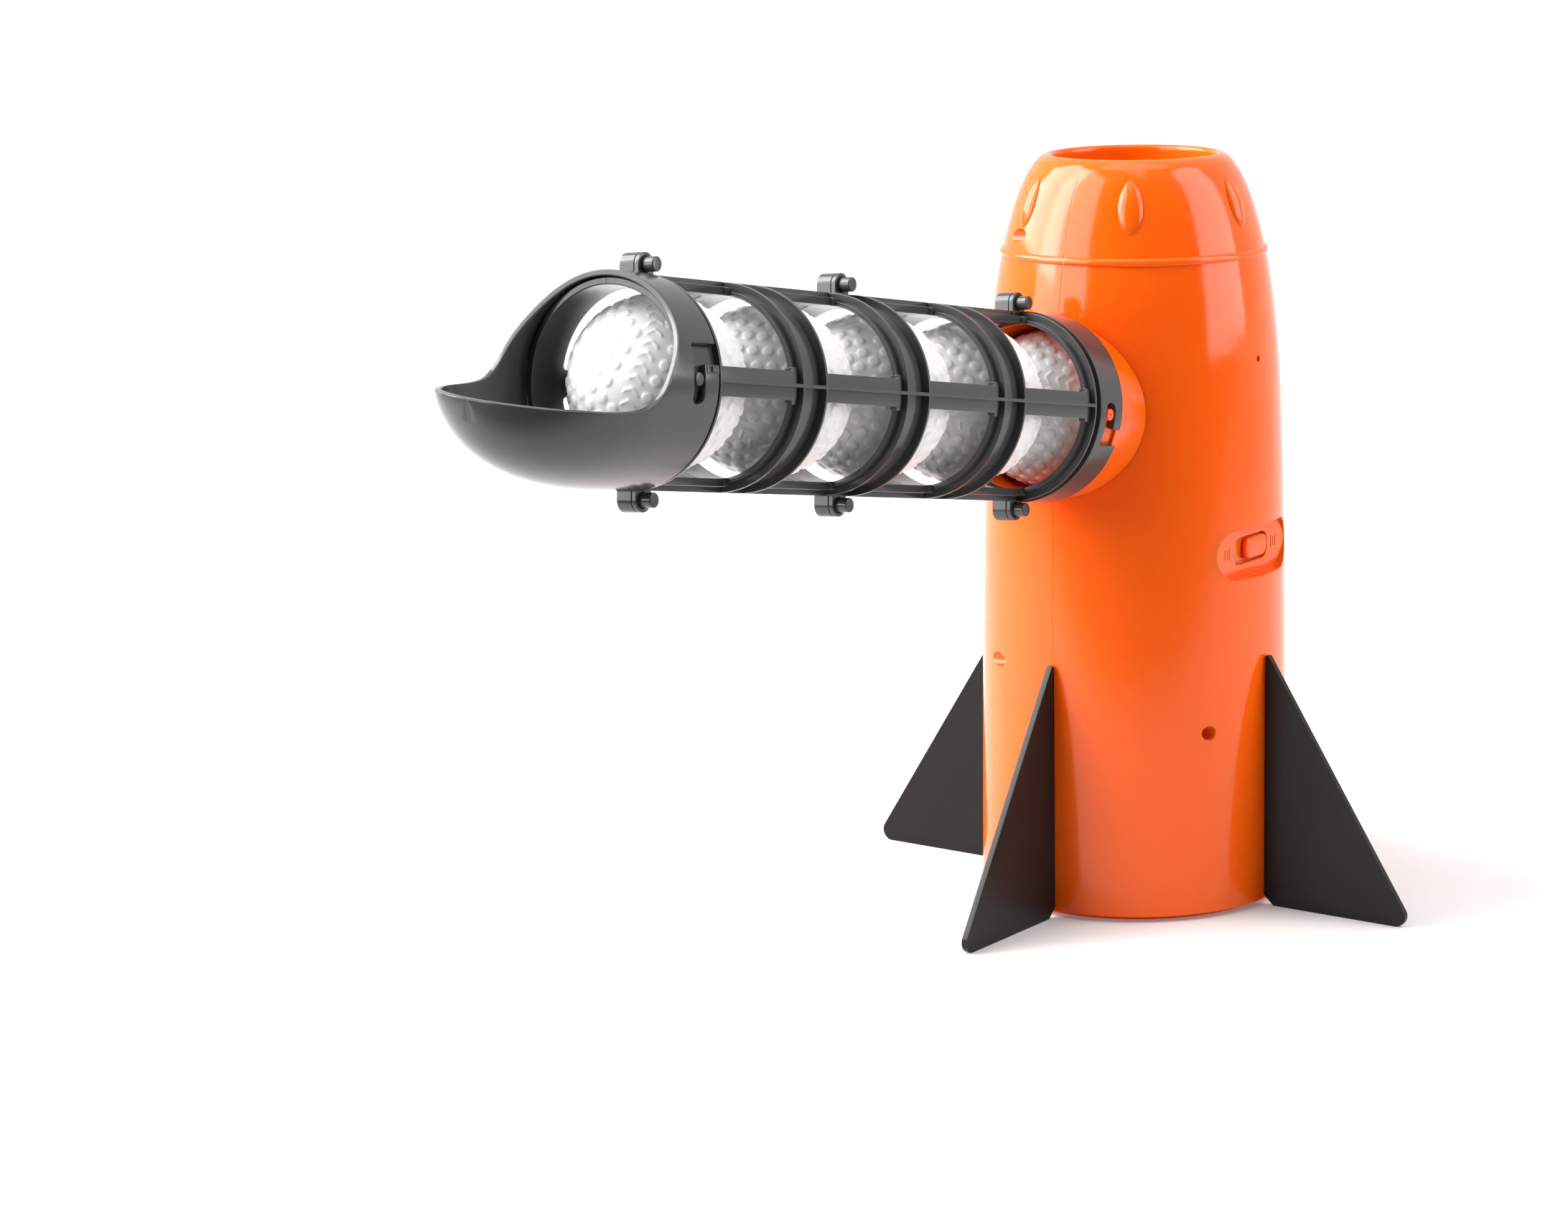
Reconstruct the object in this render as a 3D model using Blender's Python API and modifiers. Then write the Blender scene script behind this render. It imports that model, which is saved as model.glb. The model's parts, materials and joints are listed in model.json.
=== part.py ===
"""Rocket-shaped ball popper: a tower that throws light hollow balls upward, fed by a sloping ball cage.

Frame: origin on the floor at the tower's axis, +Z up, the ball cage running out and up toward -X.
The tower and cage are moulded in halves that meet on the plane y = 0 ("near" is the -Y side).
"""
import math

import bmesh
import bpy
from mathutils import Matrix, Vector

MM = 0.001
GAP = 0.3 * MM                       # clearance left between touching pieces

# ---- tower -----------------------------------------------------------------------------------------------
TOWER_HEIGHT = 340.7 * MM
SHELL_FOOT = 2.8 * MM                # the shell's lower edge stands this far above the floor
SHELL_WALL = 2.4 * MM
TOWER_OUTLINE = (                    # height, outer radius: a slight taper, then the bullet dome
    (2.8, 70.5), (122, 69.5), (173, 68.6), (215, 67.5), (248, 65.9), (273, 63.4), (290, 60.8),
    (306, 57.3), (321, 52.8), (331, 48.4), (337, 44.6), (340, 40.6))
BEAD_HEIGHT = 297.5 * MM
BEAD_PROUD = 1.2 * MM
BEAD_REACH = 1.0 * MM                 # profile heights this near the bead's middle stand proud
MOUTH_RADIUS = 36.9 * MM
TOWER_STEPS = 32

# ---- fins ------------------------------------------------------------------------------------------------
FIN_REACH = 142.4 * MM
FIN_HEIGHT = 116.5 * MM
FIN_THICKNESS = 3.0 * MM
FIN_ROOT = 70.9 * MM
FIN_TIP_RADIUS = 5.0 * MM
FIN_TIP_STEPS = 6
FIN_PEAK_WIDTH = 3.0 * MM
FIN_CLIP = (5.0 * MM, 8.0 * MM)      # the lower inner corner cut off, outward and upward
FIN_TAB_HEIGHTS = (24 * MM, 78 * MM)
FIN_TAB_SIZE = (7.0 * MM, 16.0 * MM)

# ---- ball cage: distances along its axis are measured from the tower's axis ------------------------------
CAGE_TILT = math.radians(9.73)
CAGE_TWIST = math.radians(5.0)       # how far the bayonet is turned home past the vertical
CAGE_AXIS_HEIGHT = 221.1 * MM
BALL_RADIUS = 35.0 * MM
BALL_PITCH = 70.8 * MM
FIRST_BALL = 71.4 * MM
BALL_COUNT = 5
BALL_WALL = 1.2 * MM
BALL_VENT_RADIUS = 1.5 * MM
BALL_STEPS = 16
CAGE_INNER = 36.2 * MM
CAGE_OUTER = 38.0 * MM
FLANGE_RADIUS = 41.3 * MM
FLANGE_THICKNESS = 1.4 * MM
PAD_RADIUS = 39.4 * MM
COLLAR_RADIUS = 41.8 * MM
SOCKET_RADIUS = 38.4 * MM
RING_PITCH = 71.55 * MM
RING_PAIR = 15.2 * MM
FIRST_FLANGE = 99.8 * MM
CAGE_START = 78.6 * MM
SOCKET_DEPTH = 95.0 * MM
COLLAR_END = 96.5 * MM
LAST_FLANGE = 367.6 * MM
SLEEVE_RADIUS = 39.0 * MM
CAGE_END = 386.0 * MM
STRAP_HALF_ANGLE = math.radians(8.1)
WINDOW_BAND = 3.6 * MM
WINDOW_CORNER = 3.6 * MM
RIB_HALF_WIDTH = 0.7 * MM
CAGE_STEPS = 32
LUG_PLACES = (101.6 * MM, 235.1 * MM, 364.6 * MM)
LUG_LENGTH = 9.6 * MM
LUG_TOP = 49.8 * MM
LUG_THICK = 7.2 * MM
LUG_THIN = 2.2 * MM
LUG_PEG_RADIUS = 3.0 * MM
LUG_PEG_END = 7.6 * MM
BAYONET_PEG_RADIUS = 2.6 * MM
SPIGOT_PEG_PLACE = 88.0 * MM
SPIGOT_END = 94.6 * MM
SPIGOT_RADIUS = 38.0 * MM
SLEEVE_PEG_PLACE = 381.6 * MM
PEG_ROOT = 37.5 * MM
PEG_END = 41.6 * MM
THROAT_REACH = 3.3 * MM              # half of a bayonet slot's width along the cage
CAGE_THROAT = (math.radians(-24), math.radians(2))
CAGE_MOUTH = (math.radians(-24), math.radians(-14))
SCOOP_THROAT = (math.radians(-13), math.radians(17))
SCOOP_MOUTH = (math.radians(8), math.radians(19))
CUT_INNER = 34.0 * MM                # cutters through the cage's wall run between these radii
CUT_OUTER = 44.0 * MM
PAD_ROOT = 37.2 * MM
PAD_START = 2.2 * MM
PAD_OVERHANG = math.radians(1.5)
RIB_ROOT = 37.4 * MM

# ---- scoop -----------------------------------------------------------------------------------------------
SCOOP_START = 369.7 * MM
SCOOP_NOSE_START = 383.5 * MM
SCOOP_NOSE_LENGTH = 83.0 * MM
SCOOP_WALL = 2.4 * MM
SCOOP_ARCH = 388.0 * MM              # where the cut-away arch meets the collar's top
SCOOP_RIM_DROP = 8.6 * MM            # the open rim lies this far under the cage's axis
SCOOP_RIM_LEVEL = 430.0 * MM         # beyond here the rim runs level with the axis

# ---- launcher and drive inside the tower -----------------------------------------------------------------
TUBE_INNER = 37.0 * MM
TUBE_OUTER = 38.8 * MM
TUBE_SPAN = (150.0 * MM, 328.0 * MM)
DECK_HEIGHT = 118.0 * MM
DECK_THICKNESS = 3.0 * MM
DECK_RADIUS = 59.8 * MM
SEAT_WALL = 2.0 * MM                  # the tube stands on a raised seat this much wider than it
CUP_ROOM_TOP = 170.0 * MM
ROD_HOLE_SPAN = (100.0 * MM, 140.0 * MM)
PORT_REACH = 60.0 * MM               # the ball's way is cut this far along the cage's axis
PORT_PLAY = 1.6 * MM
CUP_RADIUS = 29.0 * MM
CUP_RIM = 2.0 * MM
CUP_PLAY = 1.0 * MM
CUP_BASE = 172.0 * MM
ROD_RADIUS = 5.0 * MM
ROD_FOOT = 84.0 * MM
SPRING_RADIUS = 9.0 * MM
SPRING_WIRE = 0.8 * MM                # the wire's radius
SPRING_SPAN = (123.5 * MM, 170.0 * MM)
SPRING_TURNS = 5
GEAR_MODULE = 1.8 * MM
RACK_LINE = 5.6 * MM
RACK_DEPTH = 2.6 * MM
RACK_FACE = 3.9 * MM                 # the rack stands just clear of the turning sector gear
SECTOR_TEETH = 24
WHEEL_TEETH = 20
PINION_TEETH = 8
GEAR_WIDTH = 4.0 * MM
TOOTH_MIDDLE = 0.26                  # a tooth's middle, as a share of its step round the gear
GEAR_PLAY = 0.25 * MM
AXLE_RADIUS = 1.5 * MM
AXLE_PROUD = 1.0 * MM                # each axle stands this far out of its gearbox plates
SHAFT_RADIUS = 1.2 * MM
SHAFT_DEPTH = 4.0 * MM
OVERLAP = 0.5 * MM                   # how far joined shapes run into each other
SECTOR_CENTRE = Vector((RACK_LINE + SECTOR_TEETH * GEAR_MODULE / 2 + GEAR_PLAY, 0, 93.6 * MM))
WHEEL_BEARING = math.radians(-100)
PINION_BEARING = math.radians(200)
PLATE_NEAR = -13.0 * MM
PLATE_FAR = 11.0 * MM
PLATE_THICKNESS = 2.0 * MM
PLATE_SPAN = (-16.0 * MM, 50.0 * MM)  # along x
PLATE_FOOT = 44.0 * MM
GEAR_NEAR = -9.0 * MM                 # gear rows along y: the pinions' near face, the split, the far face
GEAR_SPLIT = -5.4 * MM
SECTOR_FAR = 2.6 * MM
WHEEL_NEAR = 4.0 * MM
MOTOR_RADIUS = 12.0 * MM
MOTOR_LENGTH = 30.0 * MM

# ---- base and cells --------------------------------------------------------------------------------------
BASE_RADIUS = 67.0 * MM
BASE_TOP = 5.6 * MM
FOOT_RADIUS = 64.0 * MM
FOOT_TOP = 3.6 * MM
CELL_RADIUS = 7.2 * MM
CELL_LENGTH = 50.0 * MM
CELL_PLACES = (18.0 * MM, 33.5 * MM, 49.0 * MM)
CELL_HEIGHT = 11.0 * MM
BOX_LOW = Vector((7.0, -31.0, 5.9)) * MM
BOX_HIGH = Vector((60.0, 31.0, 22.0)) * MM
BOX_WALL = 1.6 * MM
CELL_TIP_RADIUS = 2.6 * MM
CELL_TIP_LENGTH = 1.0 * MM
CONTACT_LOW = (11.0 * MM, 4.5 * MM)
CONTACT_HIGH = (56.0 * MM, 18.0 * MM)
CONTACT_THICKNESS = 1.0 * MM
DOOR_LOW = Vector((9.0, -28.6, 0.0)) * MM
DOOR_HIGH = Vector((58.0, 28.6, 2.0)) * MM

# ---- slide switch ----------------------------------------------------------------------------------------
SWITCH_HEIGHT = 165.0 * MM
RECESS_SIZE = (60.0 * MM, 23.0 * MM)
RECESS_OPEN = 80.0 * MM               # the recess is cut from here inward
RECESS_FLOOR = 61.5 * MM
RECESS_BACK = 2.4 * MM
TRAY_MARGIN = 5.0 * MM                # the tray is this much longer and taller than the recess
TRAY_OPEN = 72.0 * MM
TRAY_LIMIT = 67.6 * MM                # the tray stays inside this radius
TRAY_SPAN = (120.0 * MM, 210.0 * MM)
KNOB_SHIFT = 5.0 * MM                # the knob rests this far off the slot's middle
KNOB_SIZE = Vector((18.4, 2.8, 10.0)) * MM
KNOB_SLOT = (29.0 * MM, 12.2 * MM)
SWITCH_BODY = Vector((36.0, 7.0, 19.0)) * MM

# ---- screws in the shell: bearing from the cage's direction toward the near side, height -----------------
SHELL_SCREWS = ((60.3, 86.0), (119.7, 86.0), (-30.6, 113.7), (-149.4, 113.7), (-26.4, 307.0), (-153.6, 307.0))
SCREW_RECESS_RADIUS = 3.2 * MM
SCREW_RECESS_DEPTH = 5.0 * MM
SCREW_BOSS_RADIUS = 5.2 * MM
SCREW_BOSS_DEPTH = 9.0 * MM
SCREW_BOSS_COVER = 1.4 * MM           # a boss starts this far under the outer face
SCREW_CUT_REACH = 4.0 * MM            # a recess is cut from this far outside the face
SCREW_HEAD_HEIGHT = 2.0 * MM
SCREW_HEAD_TOP = 2.2 * MM

# ---- dome bumps: bearings from the cage's direction ------------------------------------------------------
BUMP_BEARINGS = (30, 90, 150, -30, -90, -150)
BUMP_SIZE = Vector((1.6, 5.5, 12.5)) * MM
BUMP_HEIGHT = 321.0 * MM

parts = bpy.data.collections.new("ball_popper")
cutters = bpy.data.collections.new("cutters")


def start_clean():
    for item in list(bpy.data.objects):
        bpy.data.objects.remove(item)
    bpy.context.scene.collection.children.link(parts)
    bpy.context.scene.collection.children.link(cutters)


def material(name, colour, roughness, metallic=0.0):
    made = bpy.data.materials.new(name)
    made.use_nodes = True
    shader = made.node_tree.nodes["Principled BSDF"]
    shader.inputs["Base Color"].default_value = (*colour, 1.0)
    shader.inputs["Roughness"].default_value = roughness
    shader.inputs["Metallic"].default_value = metallic
    return made


def finish(item, look, smooth_angle=35):
    item.data.materials.append(look)
    item.data.shade_smooth()
    item.data.set_sharp_from_angle(angle=math.radians(smooth_angle))
    return item


def mesh_object(name, bm, matrix=None, tool=False):
    """A new object from a bmesh; a tool is a cutter or a joined-in shape and goes with the cutters."""
    mesh = bpy.data.meshes.new(name)
    bmesh.ops.recalc_face_normals(bm, faces=bm.faces)
    bm.to_mesh(mesh)
    bm.free()
    item = bpy.data.objects.new(name, mesh)
    item.matrix_world = matrix or Matrix.Identity(4)
    if tool:
        item.hide_render = True
        item.display_type = "WIRE"
        cutters.objects.link(item)
    else:
        parts.objects.link(item)
    return item


def add_box(bm, low, high):
    low, high = Vector(low), Vector(high)
    size = Matrix.Diagonal(Vector((*(high - low), 1.0)))
    bmesh.ops.create_cube(bm, size=1.0, matrix=Matrix.Translation((low + high) / 2) @ size)


def add_cylinder(bm, radius, start, end, steps=16, end_radius=None):
    start, end = Vector(start), Vector(end)
    axis = end - start
    place = Matrix.Translation((start + end) / 2) @ axis.to_track_quat("Z", "Y").to_matrix().to_4x4()
    bmesh.ops.create_cone(bm, cap_ends=True, segments=steps, radius1=radius,
                          radius2=radius if end_radius is None else end_radius,
                          depth=axis.length, matrix=place)


def add_prism(bm, outline, low, high, place=None):
    """A flat outline in x, y pulled from z = low to z = high, then placed."""
    place = place or Matrix.Identity(4)
    face = bm.faces.new([bm.verts.new(place @ Vector((x, y, low))) for x, y in outline])
    pulled = bmesh.ops.extrude_face_region(bm, geom=[face])
    shift = place.to_3x3() @ Vector((0, 0, high - low))
    for item in pulled["geom"]:
        if isinstance(item, bmesh.types.BMVert):
            item.co += shift


def boolean(item, tool, operation):
    step = item.modifiers.new(tool.name, "BOOLEAN")
    step.operation = operation
    step.solver = "EXACT"
    step.object = tool


def shaped(item, tool_name, fill, operation="DIFFERENCE", matrix=None):
    """Cut or join a shape made by fill(bm) out of or into item."""
    bm = bmesh.new()
    fill(bm)
    place = item.matrix_world if matrix is None else matrix
    boolean(item, mesh_object(tool_name, bm, place, tool=True), operation)


def turned(name, outline, steps, matrix=None, tool=False):
    """A closed profile of (radius, height) pairs, outer side running downward, turned about z."""
    mesh = bpy.data.meshes.new(name)
    points = [(radius, 0.0, height) for radius, height in outline]
    edges = [(i, (i + 1) % len(points)) for i in range(len(points))]
    mesh.from_pydata(points, edges, [])
    item = bpy.data.objects.new(name, mesh)
    item.matrix_world = matrix or Matrix.Identity(4)
    screw = item.modifiers.new("turn", "SCREW")
    screw.axis = "Z"
    screw.steps = steps
    screw.render_steps = steps
    screw.use_merge_vertices = True
    screw.merge_threshold = 0.00001
    if tool:
        item.hide_render = True
        item.display_type = "WIRE"
        cutters.objects.link(item)
    else:
        parts.objects.link(item)
    return item


def cage_frame(twist=0.0):
    """Local z along the cage's axis away from the tower, local x upward, local y to the far side."""
    lean = Matrix.Rotation(CAGE_TILT - math.pi / 2, 4, "Y")
    return Matrix.Translation((0, 0, CAGE_AXIS_HEIGHT)) @ lean @ Matrix.Rotation(twist, 4, "Z")


def smooth_radius(height):
    """The tower's outer radius at a height, on a smooth curve through its outline."""
    points = [(h * MM, r * MM) for h, r in TOWER_OUTLINE]
    for i in range(len(points) - 1):
        if height <= points[i + 1][0] or i == len(points) - 2:
            break
    before = points[max(i - 1, 0)]
    low, high = points[i], points[i + 1]
    after = points[min(i + 2, len(points) - 1)]
    span = high[0] - low[0]
    t = min(max((height - low[0]) / span, 0.0), 1.0)
    slope_low = (high[1] - before[1]) / (high[0] - before[0]) * span
    slope_high = (after[1] - low[1]) / (after[0] - low[0]) * span
    return ((2 * t ** 3 - 3 * t ** 2 + 1) * low[1] + (t ** 3 - 2 * t ** 2 + t) * slope_low
            + (3 * t ** 2 - 2 * t ** 3) * high[1] + (t ** 3 - t ** 2) * slope_high)


def tower_section():
    """The shell's closed cross-section: outer side from the mouth down, then the inner side back up."""
    heights = (340, 337, 332, 325, 314, 303, 299.2, 298.4, 296.6, 295.8, 284, 268, 248, 210, 122, 2.8)
    outer = []
    for value in heights:
        height = value * MM
        proud = BEAD_PROUD if abs(height - BEAD_HEIGHT) < BEAD_REACH else 0.0
        outer.append((smooth_radius(height) + proud, height))
    rim = [(MOUTH_RADIUS, 336 * MM), (MOUTH_RADIUS, 340.2 * MM), (MOUTH_RADIUS + 0.8 * MM, TOWER_HEIGHT),
           (MOUTH_RADIUS + 2.2 * MM, TOWER_HEIGHT)]
    inner = [(smooth_radius(value * MM) - SHELL_WALL, value * MM)
             for value in (2.8, 122, 210, 250, 280, 303, 320, 330)]
    return rim + outer + inner


def stadium(width, height, steps=8):
    radius = height / 2
    half = width / 2 - radius
    points = []
    for side in (0, 1):
        for i in range(steps + 1):
            angle = math.pi * (i / steps + side) - math.pi / 2
            points.append((radius * math.cos(angle) + (half if side == 0 else -half), radius * math.sin(angle)))
    return points


def bearing(degrees):
    """Unit direction on the floor at an angle from the cage's direction toward the near side."""
    angle = math.radians(degrees)
    return Vector((-math.cos(angle), -math.sin(angle), 0))


def half_space(near, reach=0.6):
    def fill(bm):
        if near:
            add_box(bm, (-reach, -reach, -reach), (reach, -GAP / 2, reach))
        else:
            add_box(bm, (-reach, GAP / 2, -reach), (reach, reach, reach))
    return fill


def dome_normal(height):
    step = 2 * MM
    slope = (smooth_radius(height + step) - smooth_radius(height - step)) / (2 * step)
    return math.atan(-slope)


def shell_half(near, look):
    side = "near" if near else "far"
    item = turned("shell_" + side, tower_section(), TOWER_STEPS)
    frame = cage_frame()

    def spigot(bm):
        add_cylinder(bm, SPIGOT_RADIUS, (0, 0, 30 * MM), (0, 0, SPIGOT_END), 40)

    def spigot_pegs(bm):
        for sign in (-1, 1):
            add_cylinder(bm, BAYONET_PEG_RADIUS, (0, sign * PEG_ROOT, SPIGOT_PEG_PLACE),
                         (0, sign * PEG_END, SPIGOT_PEG_PLACE), 12)

    def ball_port(bm):
        add_cylinder(bm, CAGE_INNER, (0, 0, 20 * MM), (0, 0, SPIGOT_END + 10 * MM), 40)

    def tube_room(bm):
        add_cylinder(bm, TUBE_OUTER + 2 * GAP, (0, 0, 140 * MM), (0, 0, 300 * MM), 40)

    shaped(item, side + "_spigot", spigot, "UNION", frame)
    shaped(item, side + "_spigot_pegs", spigot_pegs, "UNION", frame)
    bearings = [b for b in BUMP_BEARINGS if (b > 0) == near]

    def bumps(bm):
        for degrees in bearings:
            out = bearing(degrees)
            place = Matrix.Translation(out * smooth_radius(BUMP_HEIGHT) + Vector((0, 0, BUMP_HEIGHT)))
            turn = Matrix.Rotation(math.radians(degrees) + math.pi, 4, "Z")
            lean = Matrix.Rotation(-dome_normal(BUMP_HEIGHT), 4, "Y")
            scale = Matrix.Diagonal(Vector((*BUMP_SIZE, 1.0)))
            bmesh.ops.create_uvsphere(bm, u_segments=12, v_segments=8, radius=1.0,
                                      matrix=place @ turn @ lean @ scale)

    shaped(item, side + "_bumps", bumps, "UNION")
    screws = [(b, h * MM) for b, h in SHELL_SCREWS if (b > 0) == near]

    def screw_line(degrees, height, depth):
        out = bearing(degrees)
        lean = dome_normal(height)
        aim = out * math.cos(lean) + Vector((0, 0, math.sin(lean)))
        face = out * smooth_radius(height) + Vector((0, 0, height))
        return face, face - aim * depth, aim

    def bosses(bm):
        for degrees, height in screws:
            face, foot, aim = screw_line(degrees, height, SCREW_BOSS_DEPTH)
            add_cylinder(bm, SCREW_BOSS_RADIUS, foot, face - aim * SCREW_BOSS_COVER, 12)

    def recesses(bm):
        for degrees, height in screws:
            face, foot, aim = screw_line(degrees, height, SCREW_RECESS_DEPTH)
            add_cylinder(bm, SCREW_RECESS_RADIUS, foot, face + aim * SCREW_CUT_REACH, 16)

    shaped(item, side + "_bosses", bosses, "UNION")
    if near:
        back = Matrix.Translation((0, 0, SWITCH_HEIGHT)) @ Matrix.Rotation(math.pi / 2, 4, "X")
        tray = mesh_object("switch_tray", bmesh.new(), back, tool=True)
        bm = bmesh.new()
        add_prism(bm, stadium(RECESS_SIZE[0] + TRAY_MARGIN, RECESS_SIZE[1] + TRAY_MARGIN),
                  RECESS_FLOOR - RECESS_BACK, TRAY_OPEN)
        bmesh.ops.recalc_face_normals(bm, faces=bm.faces)
        bm.to_mesh(tray.data)
        bm.free()

        def tray_limit(bm):
            add_cylinder(bm, TRAY_LIMIT, (0, 0, TRAY_SPAN[0]), (0, 0, TRAY_SPAN[1]), 48)

        shaped(tray, "switch_tray_limit", tray_limit, "INTERSECT", Matrix.Identity(4))
        boolean(item, tray, "UNION")

        def recess(bm):
            add_prism(bm, stadium(*RECESS_SIZE), RECESS_FLOOR, RECESS_OPEN)

        def knob_slot(bm):
            width, height = KNOB_SLOT
            add_box(bm, (-width / 2, -height / 2, RECESS_FLOOR - 2 * RECESS_BACK),
                    (width / 2, height / 2, RECESS_FLOOR + RECESS_BACK))

        shaped(item, "switch_recess", recess, matrix=back)
        shaped(item, "switch_knob_slot", knob_slot, matrix=back)
    shaped(item, side + "_screw_recesses", recesses)
    shaped(item, side + "_tube_room", tube_room)
    shaped(item, side + "_ball_port", ball_port, matrix=frame)

    def fin_slots(bm):
        for degrees in (0, 90, 180, 270):
            turn = Matrix.Rotation(math.radians(degrees), 4, "Z")
            for low in FIN_TAB_HEIGHTS:
                spare = 2 * GAP
                half = FIN_THICKNESS / 2 + GAP
                size = Matrix.Diagonal(Vector((20 * MM, 2 * half, FIN_TAB_SIZE[1] + 2 * spare, 1.0)))
                middle = Vector((-FIN_ROOT, 0, low + FIN_TAB_SIZE[1] / 2))
                bmesh.ops.create_cube(bm, size=1.0, matrix=turn @ Matrix.Translation(middle) @ size)

    shaped(item, side + "_fin_slots", fin_slots)
    shaped(item, side + "_half", half_space(near), "INTERSECT")
    return finish(item, look)


def fin(index, look):
    """A flat triangular plate with a rounded tip, two root tabs and a clipped lower inner corner."""
    clip_out, clip_up = FIN_CLIP
    outline = [(FIN_ROOT, clip_up), (FIN_ROOT + clip_out, 0.0)]
    centre = Vector((FIN_REACH - FIN_TIP_RADIUS, FIN_TIP_RADIUS))
    peak = Vector((FIN_ROOT + FIN_PEAK_WIDTH, FIN_HEIGHT))
    rise = peak - centre
    tangent = math.atan2(rise.y, rise.x) - math.acos(FIN_TIP_RADIUS / rise.length)
    for i in range(FIN_TIP_STEPS + 1):
        angle = -math.pi / 2 + (tangent + math.pi / 2) * i / FIN_TIP_STEPS
        outline.append((centre.x + FIN_TIP_RADIUS * math.cos(angle), centre.y + FIN_TIP_RADIUS * math.sin(angle)))
    outline += [(peak.x, peak.y), (FIN_ROOT, FIN_HEIGHT)]
    tab_depth, tab_height = FIN_TAB_SIZE
    for low in reversed(FIN_TAB_HEIGHTS):
        outline += [(FIN_ROOT, low + tab_height), (FIN_ROOT - tab_depth, low + tab_height),
                    (FIN_ROOT - tab_depth, low), (FIN_ROOT, low)]
    bm = bmesh.new()
    upright = Matrix.Rotation(math.pi / 2, 4, "X")
    turn = Matrix.Rotation(math.pi + index * math.pi / 2, 4, "Z")
    add_prism(bm, outline, -FIN_THICKNESS / 2, FIN_THICKNESS / 2)
    item = mesh_object("fin_" + str(index + 1), bm, turn @ upright)
    return finish(item, look)


def ring_flanges():
    """The cage's thin ring flanges, lowest first, as their middle distances along the axis."""
    places = [FIRST_FLANGE]
    for pair in (1, 2, 3):
        upper = FIRST_FLANGE + pair * RING_PITCH
        places += [upper - RING_PAIR, upper]
    return places + [LAST_FLANGE]


def bays():
    """Each open bay of the cage between two neighbouring flange pairs."""
    places = ring_flanges()
    return [(places[i], places[i + 1]) for i in range(0, len(places), 2)]


def cage_section():
    """Closed cross-section of the cage tube, its outer side running from the scoop end to the tower."""
    outer = [(CAGE_INNER, CAGE_END), (SLEEVE_RADIUS, CAGE_END)]
    half = FLANGE_THICKNESS / 2
    for place in reversed(ring_flanges()):
        above = SLEEVE_RADIUS if place == LAST_FLANGE else CAGE_OUTER
        outer += [(above, place + half), (FLANGE_RADIUS, place + half),
                  (FLANGE_RADIUS, place - half), (CAGE_OUTER, place - half)]
    outer += [(CAGE_OUTER, COLLAR_END), (COLLAR_RADIUS, COLLAR_END), (COLLAR_RADIUS, CAGE_START),
              (SOCKET_RADIUS, CAGE_START), (SOCKET_RADIUS, SOCKET_DEPTH), (CAGE_INNER, SOCKET_DEPTH)]
    return outer


def add_sector(bm, inner, outer, start, end, low_angle, high_angle, columns, corner=0.0):
    """A curved block on the cage's wall; angles run from the near side upward, corners may be rounded."""
    rows = []
    for i in range(columns + 1):
        t = i / columns
        if corner:
            t = 0.5 - 0.5 * math.cos(math.pi * t)
        angle = low_angle + (high_angle - low_angle) * t
        away = min(angle - low_angle, high_angle - angle) * outer
        trim = 0.0
        if corner and away < corner:
            trim = corner - math.sqrt(max(corner ** 2 - (corner - away) ** 2, 0.0))
        east, north = math.sin(angle), -math.cos(angle)
        rows.append([bm.verts.new((r * east, r * north, z)) for r, z in
                     ((inner, start + trim), (outer, start + trim), (outer, end - trim), (inner, end - trim))])
    for a, b in zip(rows, rows[1:]):
        for k in range(4):
            bm.faces.new((a[k], a[(k + 1) % 4], b[(k + 1) % 4], b[k]))
    bm.faces.new(rows[0])
    bm.faces.new(list(reversed(rows[-1])))


def ear_outline(top_side):
    """Side view of a lug ear: a tab with a half-round top, as (x outward, z along) points."""
    radius = LUG_LENGTH / 2
    points = [(36.9 * MM, -radius), (36.9 * MM, radius)]
    for i in range(9):
        angle = math.pi / 2 - math.pi * i / 8
        points.append((LUG_TOP - radius + radius * math.cos(angle), radius * math.sin(angle)))
    return [(x * top_side, z) for x, z in points]


def add_ears(bm, places, near):
    """Thin ears on the near half, thick ears on the far half, above and below the cage."""
    low, high = (GAP / 2, LUG_THIN) if near else (GAP / 2, LUG_THICK)
    for place in places:
        for top_side in (1, -1):
            sign = -1 if near else 1
            stand = Matrix(((1, 0, 0, 0), (0, 0, sign, 0), (0, 1, 0, place), (0, 0, 0, 1)))
            add_prism(bm, ear_outline(top_side), low, high, stand)


def add_lug_pegs(bm, places, radius, start, end):
    for place in places:
        for top_side in (1, -1):
            middle = (LUG_TOP - LUG_LENGTH / 2) * top_side
            add_cylinder(bm, radius, (middle, start, place), (middle, end, place), 12)


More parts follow.
